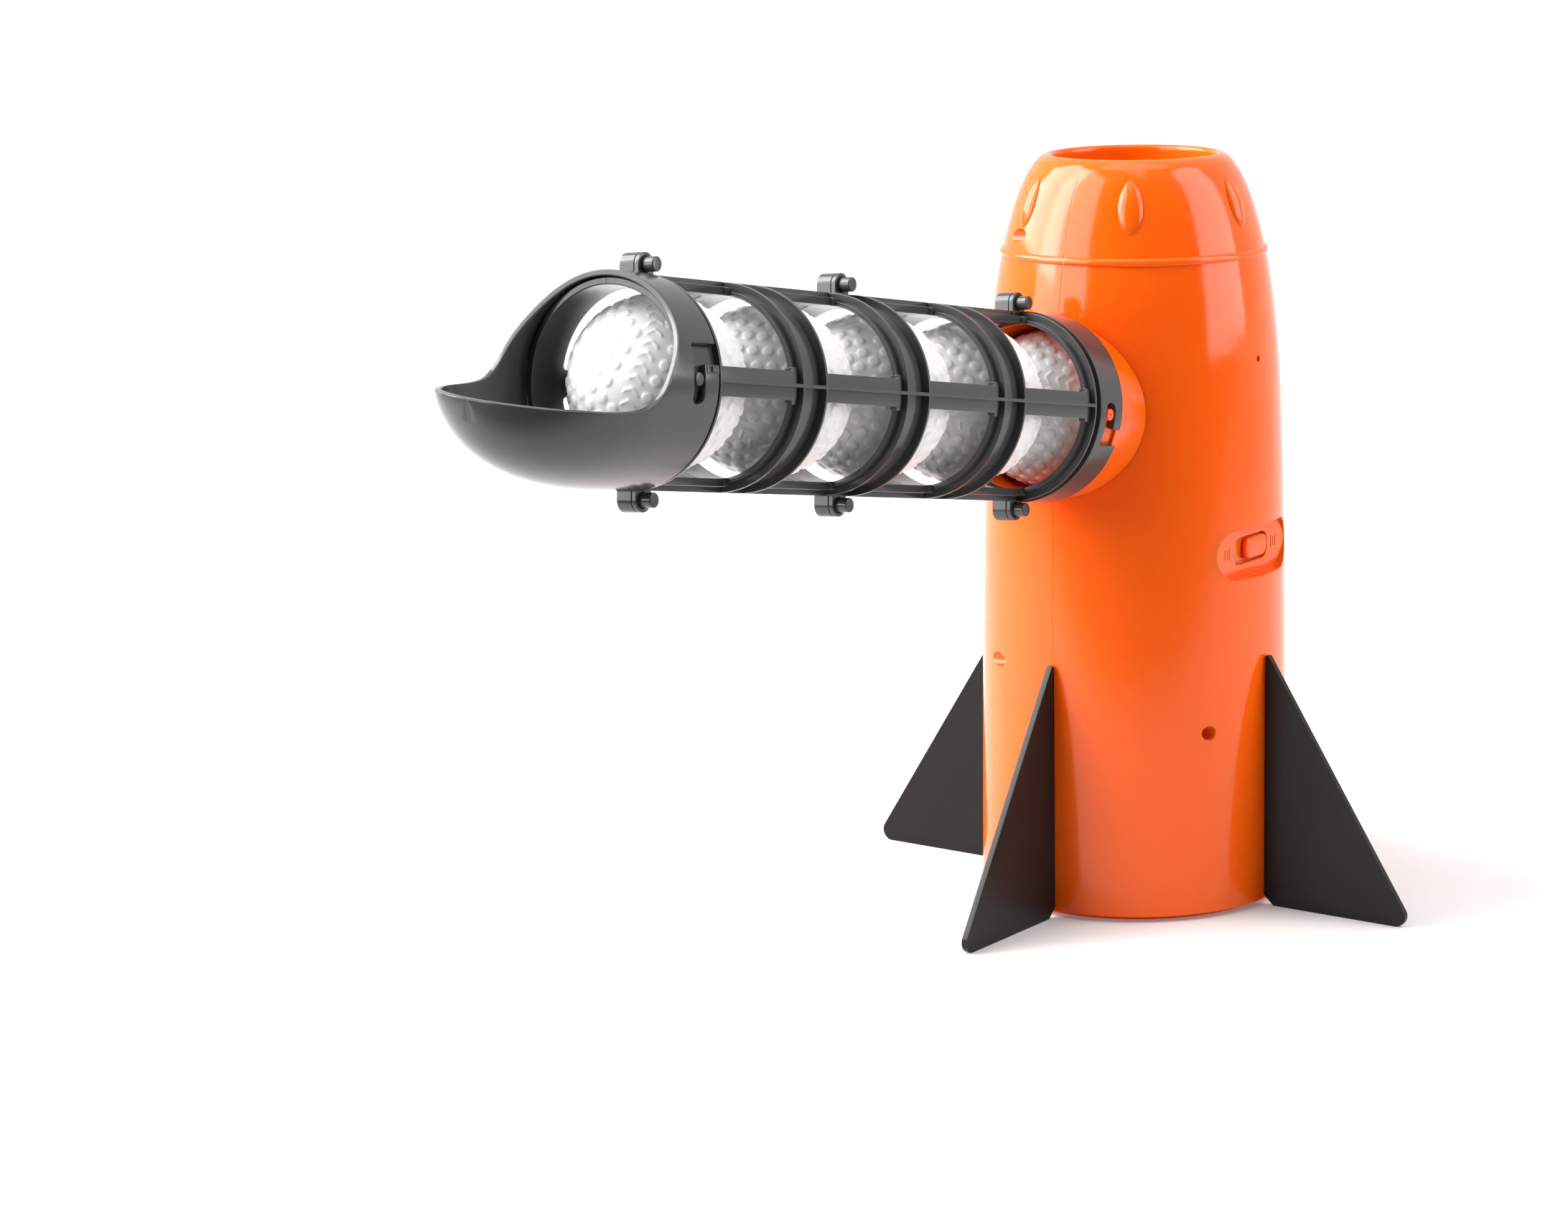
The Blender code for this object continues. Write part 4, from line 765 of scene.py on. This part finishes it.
def switch_knob():
    """Pillow-shaped slider; its CAD block's box is kept."""
    low, high = (Vector(c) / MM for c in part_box("switch_knob"))
    middle = (low + high) / 2
    size = high - low

    def place(x, y, depth):
        return Vector((middle.x + x, high.y - depth, middle.z + y))

    piece = Piece("switch_knob_cap")
    piece.add(sheet(rounded_box(size.x, size.z, KNOB_CORNER), [], 0.0, size.y, KNOB_BEVEL, place))
    piece.build("switch_knob", "orange_gloss", "switch_knob")


def screw_head(index, degrees, z):
    """Domed cross-recess head at the bottom of its bore, facing out along y."""
    side = 1 if degrees > 0 else -1
    x, reach = screw_axis(degrees, z)
    y = -side * (reach - SCREW_SUNK)
    spot = Matrix(((side, 0, 0, x), (0, 0, -side, y), (0, 1, 0, z), (0, 0, 0, 1)))
    cross = [(CROSS_HALF, CROSS_HALF), (CROSS_HALF, CROSS_REACH), (-CROSS_HALF, CROSS_REACH)]
    for _ in range(3):
        cross += [(-b, a) for a, b in cross[-3:]]

    def domed(px, py, depth):
        on_top = depth > HEAD_HEIGHT / 2
        return Vector((px, py, depth - HEAD_DOME * (px * px + py * py) * on_top))

    piece = Piece("screw_head_" + str(index))
    piece.add(sheet(disc_loop(0, 0, HEAD_R, 36), [cross], 0.0, HEAD_HEIGHT, HEAD_BEVEL, domed), spot)
    radius, top = HEAD_CORE
    piece.add(lathe([(0, 0.0), (radius, 0.0), (radius, top), (0, top)], steps=32), spot)
    piece.build("tower", "steel", "shell_screw_" + str(index))


def launch_tube():
    """The bright tube down the mouth, with the ball's way cut through its side."""
    middle, half = (PORT_LOW + PORT_HIGH) / 2, (PORT_HIGH - PORT_LOW) / 2
    port = [(PORT_REACH * x, middle + half * y) for x, y in disc_loop(0, 0, 1.0, 64)]
    reach = pi * LINER_R - 0.02
    low, high = LINER_SPAN
    outline = [(-reach, low), (reach, low), (reach, high), (-reach, high)]

    def place(x, y, depth):
        angle = x / LINER_R
        return Vector((-(LINER_BORE + depth) * cos(angle), -(LINER_BORE + depth) * sin(angle), y))

    piece = Piece("launch_tube_liner")
    columns = [reach * (k / 40 - 1) for k in range(1, 80)]
    piece.add(sheet(outline, [port], 0.0, LINER_WALL, 0.3, place, columns))
    piece.build("tower", "orange_gloss", "launch_tube")


# ---- fins
def fin(index):
    """A flat triangular plate with crisp rounded edges and a rounded tip."""
    centre = Vector((FIN_REACH - FIN_TIP, FIN_TIP))
    peak = Vector((FIN_ROOT + FIN_PEAK, FIN_HEIGHT))
    rise = peak - centre
    tangent = atan2(rise.y, rise.x) - acos(FIN_TIP / rise.length)
    outline = [(FIN_ROOT, FIN_FOOT[1]), (FIN_ROOT + FIN_FOOT[0], 0.0)]
    outline += arc_line(centre.x, centre.y, FIN_TIP, -pi / 2, tangent, 12)
    outline += [(peak.x, peak.y), (FIN_ROOT, FIN_HEIGHT)]
    turn = Matrix.Rotation(pi + index * pi / 2, 4, "Z")

    def place(x, y, depth):
        return turn @ Vector((x, depth, y))

    piece = Piece("fin_plate_" + str(index + 1))
    piece.add(sheet(outline, [], -FIN_HALF, FIN_HALF, FIN_BEVEL, place, range(75, 140, 5), range(5, 115, 5)))
    piece.build("tower", "fin_black", "fin_" + str(index + 1))


# ---- ball cage
def on_cage(base):
    """Bend for sheets: x is arc at R0, y the distance along the cage, depth outward from base."""
    def place(x, y, depth):
        angle = x / R0
        r = base + depth
        return Vector((r * sin(angle), -r * cos(angle), y))
    return place


def flange_places():
    """The flanges along the cage: one at each end and three pairs between."""
    places = [FIRST]
    for pair in (1, 2, 3):
        upper = FIRST + pair * PITCH
        places += [upper - PAIR, upper]
    return places + [LAST]


def cage_bays():
    """The four windowed stretches between flanges, as (start, end)."""
    places = flange_places()
    return list(zip(places[::2], places[1::2]))


def cage_columns(middle):
    return [(middle - pi / 2 + pi * k / CAGE_COLUMNS) * R0 for k in range(1, CAGE_COLUMNS)]


def cage_windows(middle):
    """Eight window outlines of one half, in the sheet's flat coordinates."""
    windows = []
    for bottom, top in cage_bays():
        for quarter in (-1, 1):
            a, b = sorted((middle + quarter * STRAP, middle + quarter * (pi / 2 - STRAP)))
            start, end = bottom + WINDOW_START, top - WINDOW_END
            corners = [(a * R0, start), (b * R0, start), (b * R0, end), (a * R0, end)]
            windows.append(round_corners(corners, WINDOW_CORNERS, 6))
    return windows


def strap_outline(centre, bottom, top, edges):
    """A strap over one bay, with wings at its start, cut off at the half's edges."""
    wide, wing = (STRAP + STRAP_LAP) * R0, WING * R0
    left, right = max(centre * R0 - wide, edges[0]), min(centre * R0 + wide, edges[1])
    wing_left, wing_right = max(centre * R0 - wing, edges[0]), min(centre * R0 + wing, edges[1])
    start, shoulder = bottom + WING_START, bottom + WING_END
    whole = [(wing_left, start), (wing_right, start), (wing_right, shoulder), (right, shoulder),
             (right, top), (left, top), (left, shoulder), (wing_left, shoulder)]
    loop = clean_loop(whole, 0.005)
    radii = (0.4, 0.4, 0.3, 0.4, 0.1, 0.1, 0.4, 0.3) if len(loop) == len(whole) else 0.3
    return round_corners(loop, radii, 3)


def add_cage_wall(piece, middle, edges, world):
    """The windowed wall of one half and the straps that lie on it."""
    columns = cage_columns(middle)
    low, high = WALL_SPAN
    outline = [(edges[0], low), (edges[1], low), (edges[1], high), (edges[0], high)]
    bend = on_cage(WALL_IN)
    piece.add(sheet(outline, cage_windows(middle), 0.0, WALL_OUT - WALL_IN, 0.25, bend, columns), world)
    for bottom, top in cage_bays():
        for centre in (middle - pi / 2, middle, middle + pi / 2):
            strap = strap_outline(centre, bottom, top, edges)
            piece.add(sheet(strap, [], -0.05, PAD_R - WALL_IN, 0.25, bend, columns), world)


def add_cage_ribs(piece, middle, sign, world):
    """Thin ribs along the straps, level with the flanges."""
    low, high = FIRST - RIB_PAST, LAST + RIB_PAST
    spin = Matrix.Rotation(middle, 4, "Z")
    piece.add(brick((-RIB_HALF, -RIB_TOP, low), (RIB_HALF, -RIB_FOOT, high), 0.3), world @ spin)
    for upper in (1, -1):
        x = sorted((upper * RIB_FOOT, upper * RIB_TOP))
        y = sorted((sign * SEAM, sign * SEAM_RIB))
        piece.add(brick((x[0], y[0], low), (x[1], y[1], high), 0.25), world)


def add_cage_collar(piece, middle, edges, world):
    """The tower-end collar with its bayonet slot."""
    slot = [((middle + degrees * DEG) * R0, s) for degrees, s, _ in COLLAR_SLOT]
    shape = [(edges[0], COLLAR_START)] + slot
    shape += [(edges[1], COLLAR_START), (edges[1], COLLAR_END), (edges[0], COLLAR_END)]
    radii = [0.1] + [radius for _, _, radius in COLLAR_SLOT] + [0.1, 0.1, 0.1]
    columns = cage_columns(middle)
    shape = round_corners(shape, radii, 6)
    piece.add(sheet(shape, [], 0.0, COLLAR_R - COLLAR_IN, 0.4, on_cage(COLLAR_IN), columns), world)


def add_ears(piece, near, world):
    """Joining lugs: a thick ear with a peg on the far half, a thin bored ear on the near half."""
    radius = EAR_LENGTH / 2
    middle = EAR_TOP - radius
    round_end = arc_line(middle, 0.0, radius, -pi / 2, pi / 2, 16)
    outline = [(EAR_FOOT, -radius)] + round_end + [(EAR_FOOT, radius)]
    holes = [disc_loop(middle, 0.0, EAR_HOLE, 28)] if near else []
    reach = EAR_THIN if near else EAR_THICK
    sign = -1 if near else 1
    for s in LUGS:
        for upper in (1, -1):
            def place(x, y, depth):
                return Vector((x * upper, sign * depth, s + y))

            piece.add(sheet(outline, holes, SEAM, reach, 0.35, place), world)
            if not near:
                at = middle * upper
                piece.add(peg(LUG_PEG, (at, LUG_PEG_ROOT, s), (at, LUG_PEG_END, s), 0.5), world)


def cage_half(near):
    """One moulding: wall, straps, ribs, flanges, collar, sleeve into the scoop, peg and ears."""
    middle = 0.0 if near else pi
    sign = -1 if near else 1
    gap = SEAM / R0
    arc = (middle - pi / 2 + gap, middle + pi / 2 - gap)
    edges = (arc[0] * R0, arc[1] * R0)
    world = to_world(TWIST)
    name = "cage_near" if near else "cage_far"
    piece = Piece(name + "_frame")
    add_cage_wall(piece, middle, edges, world)
    add_cage_ribs(piece, middle, sign, world)
    for s in flange_places():
        piece.add(ring(WALL_IN + FLANGE_FOOT, FLANGE_R, s - FLANGE_HALF, s + FLANGE_HALF, 0.3, arc), world)
    piece.add(ring(WALL_IN, COLLAR_R, *STOP_RING, 0.4, arc), world)
    piece.add(ring(WALL_IN - 0.02, SLEEVE_R, LAST, SLEEVE_END, 0.5, arc), world)
    add_cage_collar(piece, middle, edges, world)
    radius, foot, top, s = SLEEVE_PEG
    piece.add(peg(radius, (0, sign * foot, s), (0, sign * top, s), 0.45), world)
    add_ears(piece, near, world)
    piece.build("cage", "grey_gloss", name)


# ---- scoop
def nose_radius(s):
    """Outer radius of the collar and the blunt nose."""
    if s <= NOSE_START:
        return COLLAR_R
    along, across = NOSE_POWERS
    return COLLAR_R * max(1 - ((s - NOSE_START) / NOSE_LENGTH) ** along, 0.0) ** (1 / across)


SCOOP_S = np.concatenate((np.linspace(SCOOP_START, NOSE_START, 20)[:-1],
                          NOSE_START + NOSE_LENGTH * np.sin(np.linspace(0, pi / 2, 300))))
SCOOP_R = np.array([nose_radius(s) for s in SCOOP_S])
SCOOP_T = np.concatenate(([0.0], np.cumsum(np.hypot(np.diff(SCOOP_S), np.diff(SCOOP_R)))))


def scoop_t(s):
    """Arc length from the collar's edge over the nose."""
    return lookup(s, SCOOP_S, SCOOP_T)


def on_scoop(x, y, depth):
    """Bend for sheets: x is arc at COLLAR_R, y as scoop_t gives it."""
    s, r = lookup(y, SCOOP_T, SCOOP_S), lookup(y, SCOOP_T, SCOOP_R)
    dr, ds = slope(y, 0.4, SCOOP_T, SCOOP_R, SCOOP_S)
    r += (depth - SCOOP_WALL) * ds
    s -= (depth - SCOOP_WALL) * dr
    angle = x / COLLAR_R
    return Vector((r * sin(angle), -r * cos(angle), s))


def rim_angles():
    """The near rim as (angle, s), from the arch's top to the nose's lowest point."""
    curve = np.array(soften(RIM))

    def height(s):
        return lookup(s, curve[:, 0], curve[:, 1])

    low, high = RIM_TAIL, NOSE_START + NOSE_LENGTH
    for _ in range(50):
        tip = (low + high) / 2
        if nose_radius(tip) + height(tip) > 0:
            low = tip
        else:
            high = tip
    stations = [s for s in curve[:, 0] if s < RIM_TAIL]
    stations += [tip - (tip - RIM_TAIL) * (k / 50) ** 2 for k in range(50, 0, -1)]
    angles = [(asin(max(min(height(s) / nose_radius(s), 1.0), -1.0)), s) for s in stations]
    return angles + [(-pi / 2, tip)]


def slot_notch(base):
    """A bayonet slot in the collar in flat coordinates, from its mouth round its throat and out again."""
    low, high = scoop_t(SLOT_LOW), scoop_t(SLOT_HIGH)
    corners = ((SLOT_MOUTH, 0.0), (SLOT_MOUTH, low), (SLOT_THROAT, low),
               (SLOT_THROAT, high), (SLOT_FAR, high), (SLOT_FAR, 0.0))
    return round_corners([((base + a * DEG) * COLLAR_R, t) for a, t in corners], SLOT_CORNERS, 6)


def scoop_sheet():
    """The moulding's wall: a collar with two bayonet slots, an arch and an open bowl."""
    slots_at = TWIST - RIM_TURN
    rim = [(a * COLLAR_R, scoop_t(s)) for a, s in rim_angles()]
    t_tip = rim[-1][1]
    around = 2 * pi * COLLAR_R
    bottom, over = -around / 4, 3.0
    left, right = bottom - over, bottom + around + over
    outline = [(left, 0.0)] + slot_notch(slots_at) + slot_notch(pi + slots_at)
    outline += [(right, 0.0), (right, t_tip)]
    outline += [(around / 2 - x, t) for x, t in rim[::-1]] + rim[1:]
    outline += [(left, t_tip)]
    columns = [bottom + around * k / SCOOP_COLUMNS for k in range(1, SCOOP_COLUMNS)]
    rows = [scoop_t(NOSE_START) + 2.5 * k for k in range(24)]
    rows += [scoop_t(440.0) + 1.2 * k for k in range(1, 24)]
    trims = ((bottom, -1), (bottom + around, 1))
    return sheet(outline, [], 0.0, SCOOP_WALL, 0.5, on_scoop, columns, rows, trims)


def scoop():
    """The scoop with the latch squares beside its bayonet slots."""
    piece = Piece("scoop_shell")
    piece.add(scoop_sheet(), to_world(RIM_TURN))
    for turn in (0.0, pi):
        spin = to_world(TWIST) @ Matrix.Rotation(turn, 4, "Z")
        for left, right, start, end, corner, foot, height, bevel in LATCH:
            a, b = left * DEG * R0, right * DEG * R0
            square = round_corners([(a, start), (b, start), (b, end), (a, end)], corner, 3)
            piece.add(sheet(square, [], 0.0, height, bevel, on_cage(COLLAR_R + foot)), spin)
    piece.build("scoop", "grey_gloss", "scoop")


# ---- balls
def on_sphere(polar, turn):
    return np.stack((np.sin(polar) * np.cos(turn), np.sin(polar) * np.sin(turn), np.cos(polar)), axis=1)


def stitch_curve():
    """A baseball's seam: points on the unit sphere and the length run along it, in millimetres."""
    t = np.linspace(0, 4 * pi, SEAM_POINTS, endpoint=False)
    polar = pi / 2 - (pi / 2 - SEAM_PINCH) * np.cos(t)
    points = on_sphere(polar, t / 2 + SEAM_PINCH * np.sin(2 * t))
    steps = np.linalg.norm(np.roll(points, -1, axis=0) - points, axis=1) * BALL_R
    return points, np.concatenate(([0.0], np.cumsum(steps)))


def stitches(dirs):
    """Height of the raised V stitches and the distance to the seam, for each direction."""
    points, run = stitch_curve()
    pitch = run[-1] / round(run[-1] / STITCH_PITCH)
    tree = KDTree(len(points))
    for index, point in enumerate(points):
        tree.insert(point, index)
    tree.balance()
    found = [tree.find(d) for d in dirs]
    nearest = np.array([hit[1] for hit in found])
    away = np.array([hit[2] for hit in found]) * BALL_R
    phase = (run[nearest] - STITCH_SLOPE * away) % pitch
    across = np.minimum(phase, pitch - phase) / hypot(1.0, STITCH_SLOPE)
    ridge = np.sqrt(np.clip(1 - (across / STITCH_HALF_LINE) ** 2, 0, 1))
    ends = np.clip((STITCH_REACH - away) / STITCH_FADE, 0, 1)
    return STITCH_PROUD * ridge * ends, away


def raise_dots(dirs, height, from_seam):
    """Add evenly spread round dots, flat on top, wherever the seam leaves room."""
    k = np.arange(DOT_COUNT)
    polar = np.arccos(1 - 2 * (k + 0.5) / DOT_COUNT)
    for centre in on_sphere(polar, k * pi * (3 - sqrt(5))):
        cosine = dirs @ centre
        if from_seam[int(np.argmax(cosine))] < DOT_CLEAR:
            continue
        close = cosine > cos((DOT_RADIUS + DOT_MARGIN) / BALL_R)
        away = np.arccos(np.clip(cosine[close], -1, 1)) * BALL_R
        flank = np.clip((DOT_RADIUS - away) / DOT_FLANK, 0, 1)
        height[close] = np.maximum(height[close], DOT_PROUD * np.sqrt(1 - (1 - flank) ** 2))


def ball_mesh():
    """A ball with a baseball's seam of raised V stitches, a field of raised dots and a fine mould line."""
    bm = bmesh.new()
    bmesh.ops.create_icosphere(bm, subdivisions=7, radius=1.0)
    dirs = np.array([v.co[:] for v in bm.verts])
    dirs /= np.linalg.norm(dirs, axis=1)[:, None]
    height, from_seam = stitches(dirs)
    raise_dots(dirs, height, from_seam)
    line = np.abs(dirs[:, 1]) * BALL_R
    height = np.maximum(height, MOULD_PROUD * np.clip(1 - line / MOULD_LINE, 0, 1))
    for v, r in zip(bm.verts, BALL_R - DOT_PROUD - BALL_CLEAR + height):
        v.co *= float(r) * MM
    mesh = to_mesh("ball_skin", bm)
    mesh.shade_smooth()
    mesh.materials.append(LOOKS["ball_white"])
    return mesh


def balls():
    """Five balls in a row down the cage, each turned its own way; ball 1 lies in the scoop."""
    mesh = ball_mesh()
    for index, spin in enumerate(BALL_SPINS):
        s = BALL_FIRST + (len(BALL_SPINS) - 1 - index) * BALL_PITCH
        ball = "ball_" + str(index + 1)
        item = add_object("ball_skin_" + str(index + 1), mesh)
        item.location = to_world() @ Vector((0, 0, s)) * MM
        item.rotation_euler = spin
        settle(item, ball, ball)


# ---- stage, lights and camera
CAMERA_AT = (-1.5194, -0.9311, 0.5031)  # metres
CAMERA_FORWARD, CAMERA_RIGHT = Vector((0.7850, 0.5851, -0.2033)), Vector((0.5976, -0.8018, 0.0))
CAMERA_UP, CAMERA_ROLL = Vector((0.1630, 0.1215, 0.9791)), 0.0187
CAMERA_BEARING = 211.5  # degrees from +X toward +Y
AHEAD = (-0.853, -0.522, 0.0)  # along the floor toward the camera
BEHIND = (0.80, 0.60, 0.25)  # past the object, away from the camera
# each softbox: degrees from the camera's bearing, distance, width, heights, radiance
SOFTBOXES = (("key_left", -64, 1.25, 1.15, (0.27, 2.2), 5.6),
             ("side_left", -95, 1.3, 1.2, (0.5, 2.4), 9.5),
             ("fill_right", 80, 1.25, 0.9, (0.27, 2.2), 4.6))
OVERHEAD_AT, OVERHEAD_SIZE, OVERHEAD_RADIANCE = (-0.2, -0.1, 2.3), 1.4, 1.9


def floor_material():
    """Pale sweep with painted light: it glows faintly near the object, and painted shade greys it out in
    front of it, toward the camera.
    """
    made = plastic("floor_pale", (0.62, 0.62, 0.62), (0.61, 0.61, 0.615), 0.6, grain=0.0, mottle=0.3)
    tree = made.node_tree
    shader = tree.nodes["Principled BSDF"]
    pale = shader.inputs["Base Color"].links[0].from_socket
    place = tree.nodes.new("ShaderNodeTexCoord")
    ahead = add_toward(tree, place.outputs["Object"], AHEAD)
    # painted shade: from 0.45 m in front of the object, toward the camera, the floor's colour and glow turn
    # grey
    shade_fade = add_range(tree, ahead, (0.45, 0.65), (0.0, 1.0))
    grey = (0.1, 0.1, 0.1)
    painted_shade_blend = add_blend(tree, shade_fade, grey, grey)
    tree.links.new(pale, painted_shade_blend.inputs["A"])
    for socket in ("Base Color", "Emission Color"):
        tree.links.new(painted_shade_blend.outputs["Result"], shader.inputs[socket])
    # painted glow: the floor gives off light, faint near the object and stronger far behind it
    glow = add_range(tree, ahead, (-1.6, -0.3), (1.0, 0.2))
    tree.links.new(glow, shader.inputs["Emission Strength"])
    return made


def lay_floor():
    bm = bmesh.new()
    bmesh.ops.create_grid(bm, x_segments=8, y_segments=8, size=30.0)
    mesh = to_mesh("floor", bm)
    mesh.materials.append(floor_material())
    add_object("floor", mesh)


def studio_world():
    """Even studio surround: dim on the camera's side, bright behind the object."""
    made = bpy.data.worlds.new("studio")
    made.use_nodes = True
    tree = made.node_tree
    place = tree.nodes.new("ShaderNodeTexCoord")
    behind = add_toward(tree, place.outputs["Generated"], BEHIND)
    background = tree.nodes["Background"]
    tree.links.new(add_range(tree, behind, (-0.6, 0.6), (0.12, 1.0)), background.inputs["Strength"])
    background.inputs["Color"].default_value = (1.0, 1.0, 1.0, 1.0)
    return made


def area_light(name, place, size, radiance):
    """A soft rectangle at a place in metres, which lights downward until it is turned."""
    light = bpy.data.lights.new(name, "AREA")
    light.shape = "RECTANGLE"
    light.size, light.size_y = size
    light.energy = radiance * pi * size[0] * size[1]
    item = add_object(name, light)
    item.location = place
    return item


def softbox(name, from_camera, distance, width, heights, radiance):
    """A tall soft light that many degrees round from the camera, facing the tower."""
    low, high = heights
    angle = (CAMERA_BEARING + from_camera) * DEG
    place = Vector((distance * cos(angle), distance * sin(angle), (low + high) / 2))
    item = area_light(name, place, (width, high - low), radiance)
    toward = Vector((0, 0, place.z)) - place
    item.rotation_euler = toward.to_track_quat("-Z", "Y").to_euler()


def set_camera():
    """The camera at the photograph's viewing angle, with its slight roll."""
    camera = bpy.data.cameras.new("camera")
    camera.sensor_width = 36.0
    camera.lens = 90.15
    camera.clip_end = 100.0
    forward = CAMERA_FORWARD.normalized()
    right = (CAMERA_RIGHT - CAMERA_ROLL * CAMERA_UP).normalized()
    up = (CAMERA_UP + CAMERA_ROLL * CAMERA_RIGHT).normalized()
    view = add_object("camera", camera)
    view.matrix_world = Matrix((*zip(right, up, -forward, CAMERA_AT), (0, 0, 0, 1)))
    bpy.context.scene.camera = view


# ---- build
for is_near in (True, False):
    shell_half(is_near)
    cage_half(is_near)
scoop()
for number in range(4):
    fin(number)
for number, (bearing, screw_z) in enumerate(SCREWS):
    screw_head(number + 1, bearing, screw_z)
switch_knob()
launch_tube()
balls()

slots = {row["node"]: row["material_slot"] for row in frame["record"]["subparts"]}
for node, item in frame["nodes"].items():
    item.data.materials.clear()
    item.data.materials.append(LOOKS[slots[node]])

lay_floor()
bpy.context.scene.world = studio_world()
for box in SOFTBOXES:
    softbox(*box)
area_light("overhead", OVERHEAD_AT, (OVERHEAD_SIZE, OVERHEAD_SIZE), OVERHEAD_RADIANCE)
set_camera()
bpy.context.scene.view_settings.view_transform = "Standard"
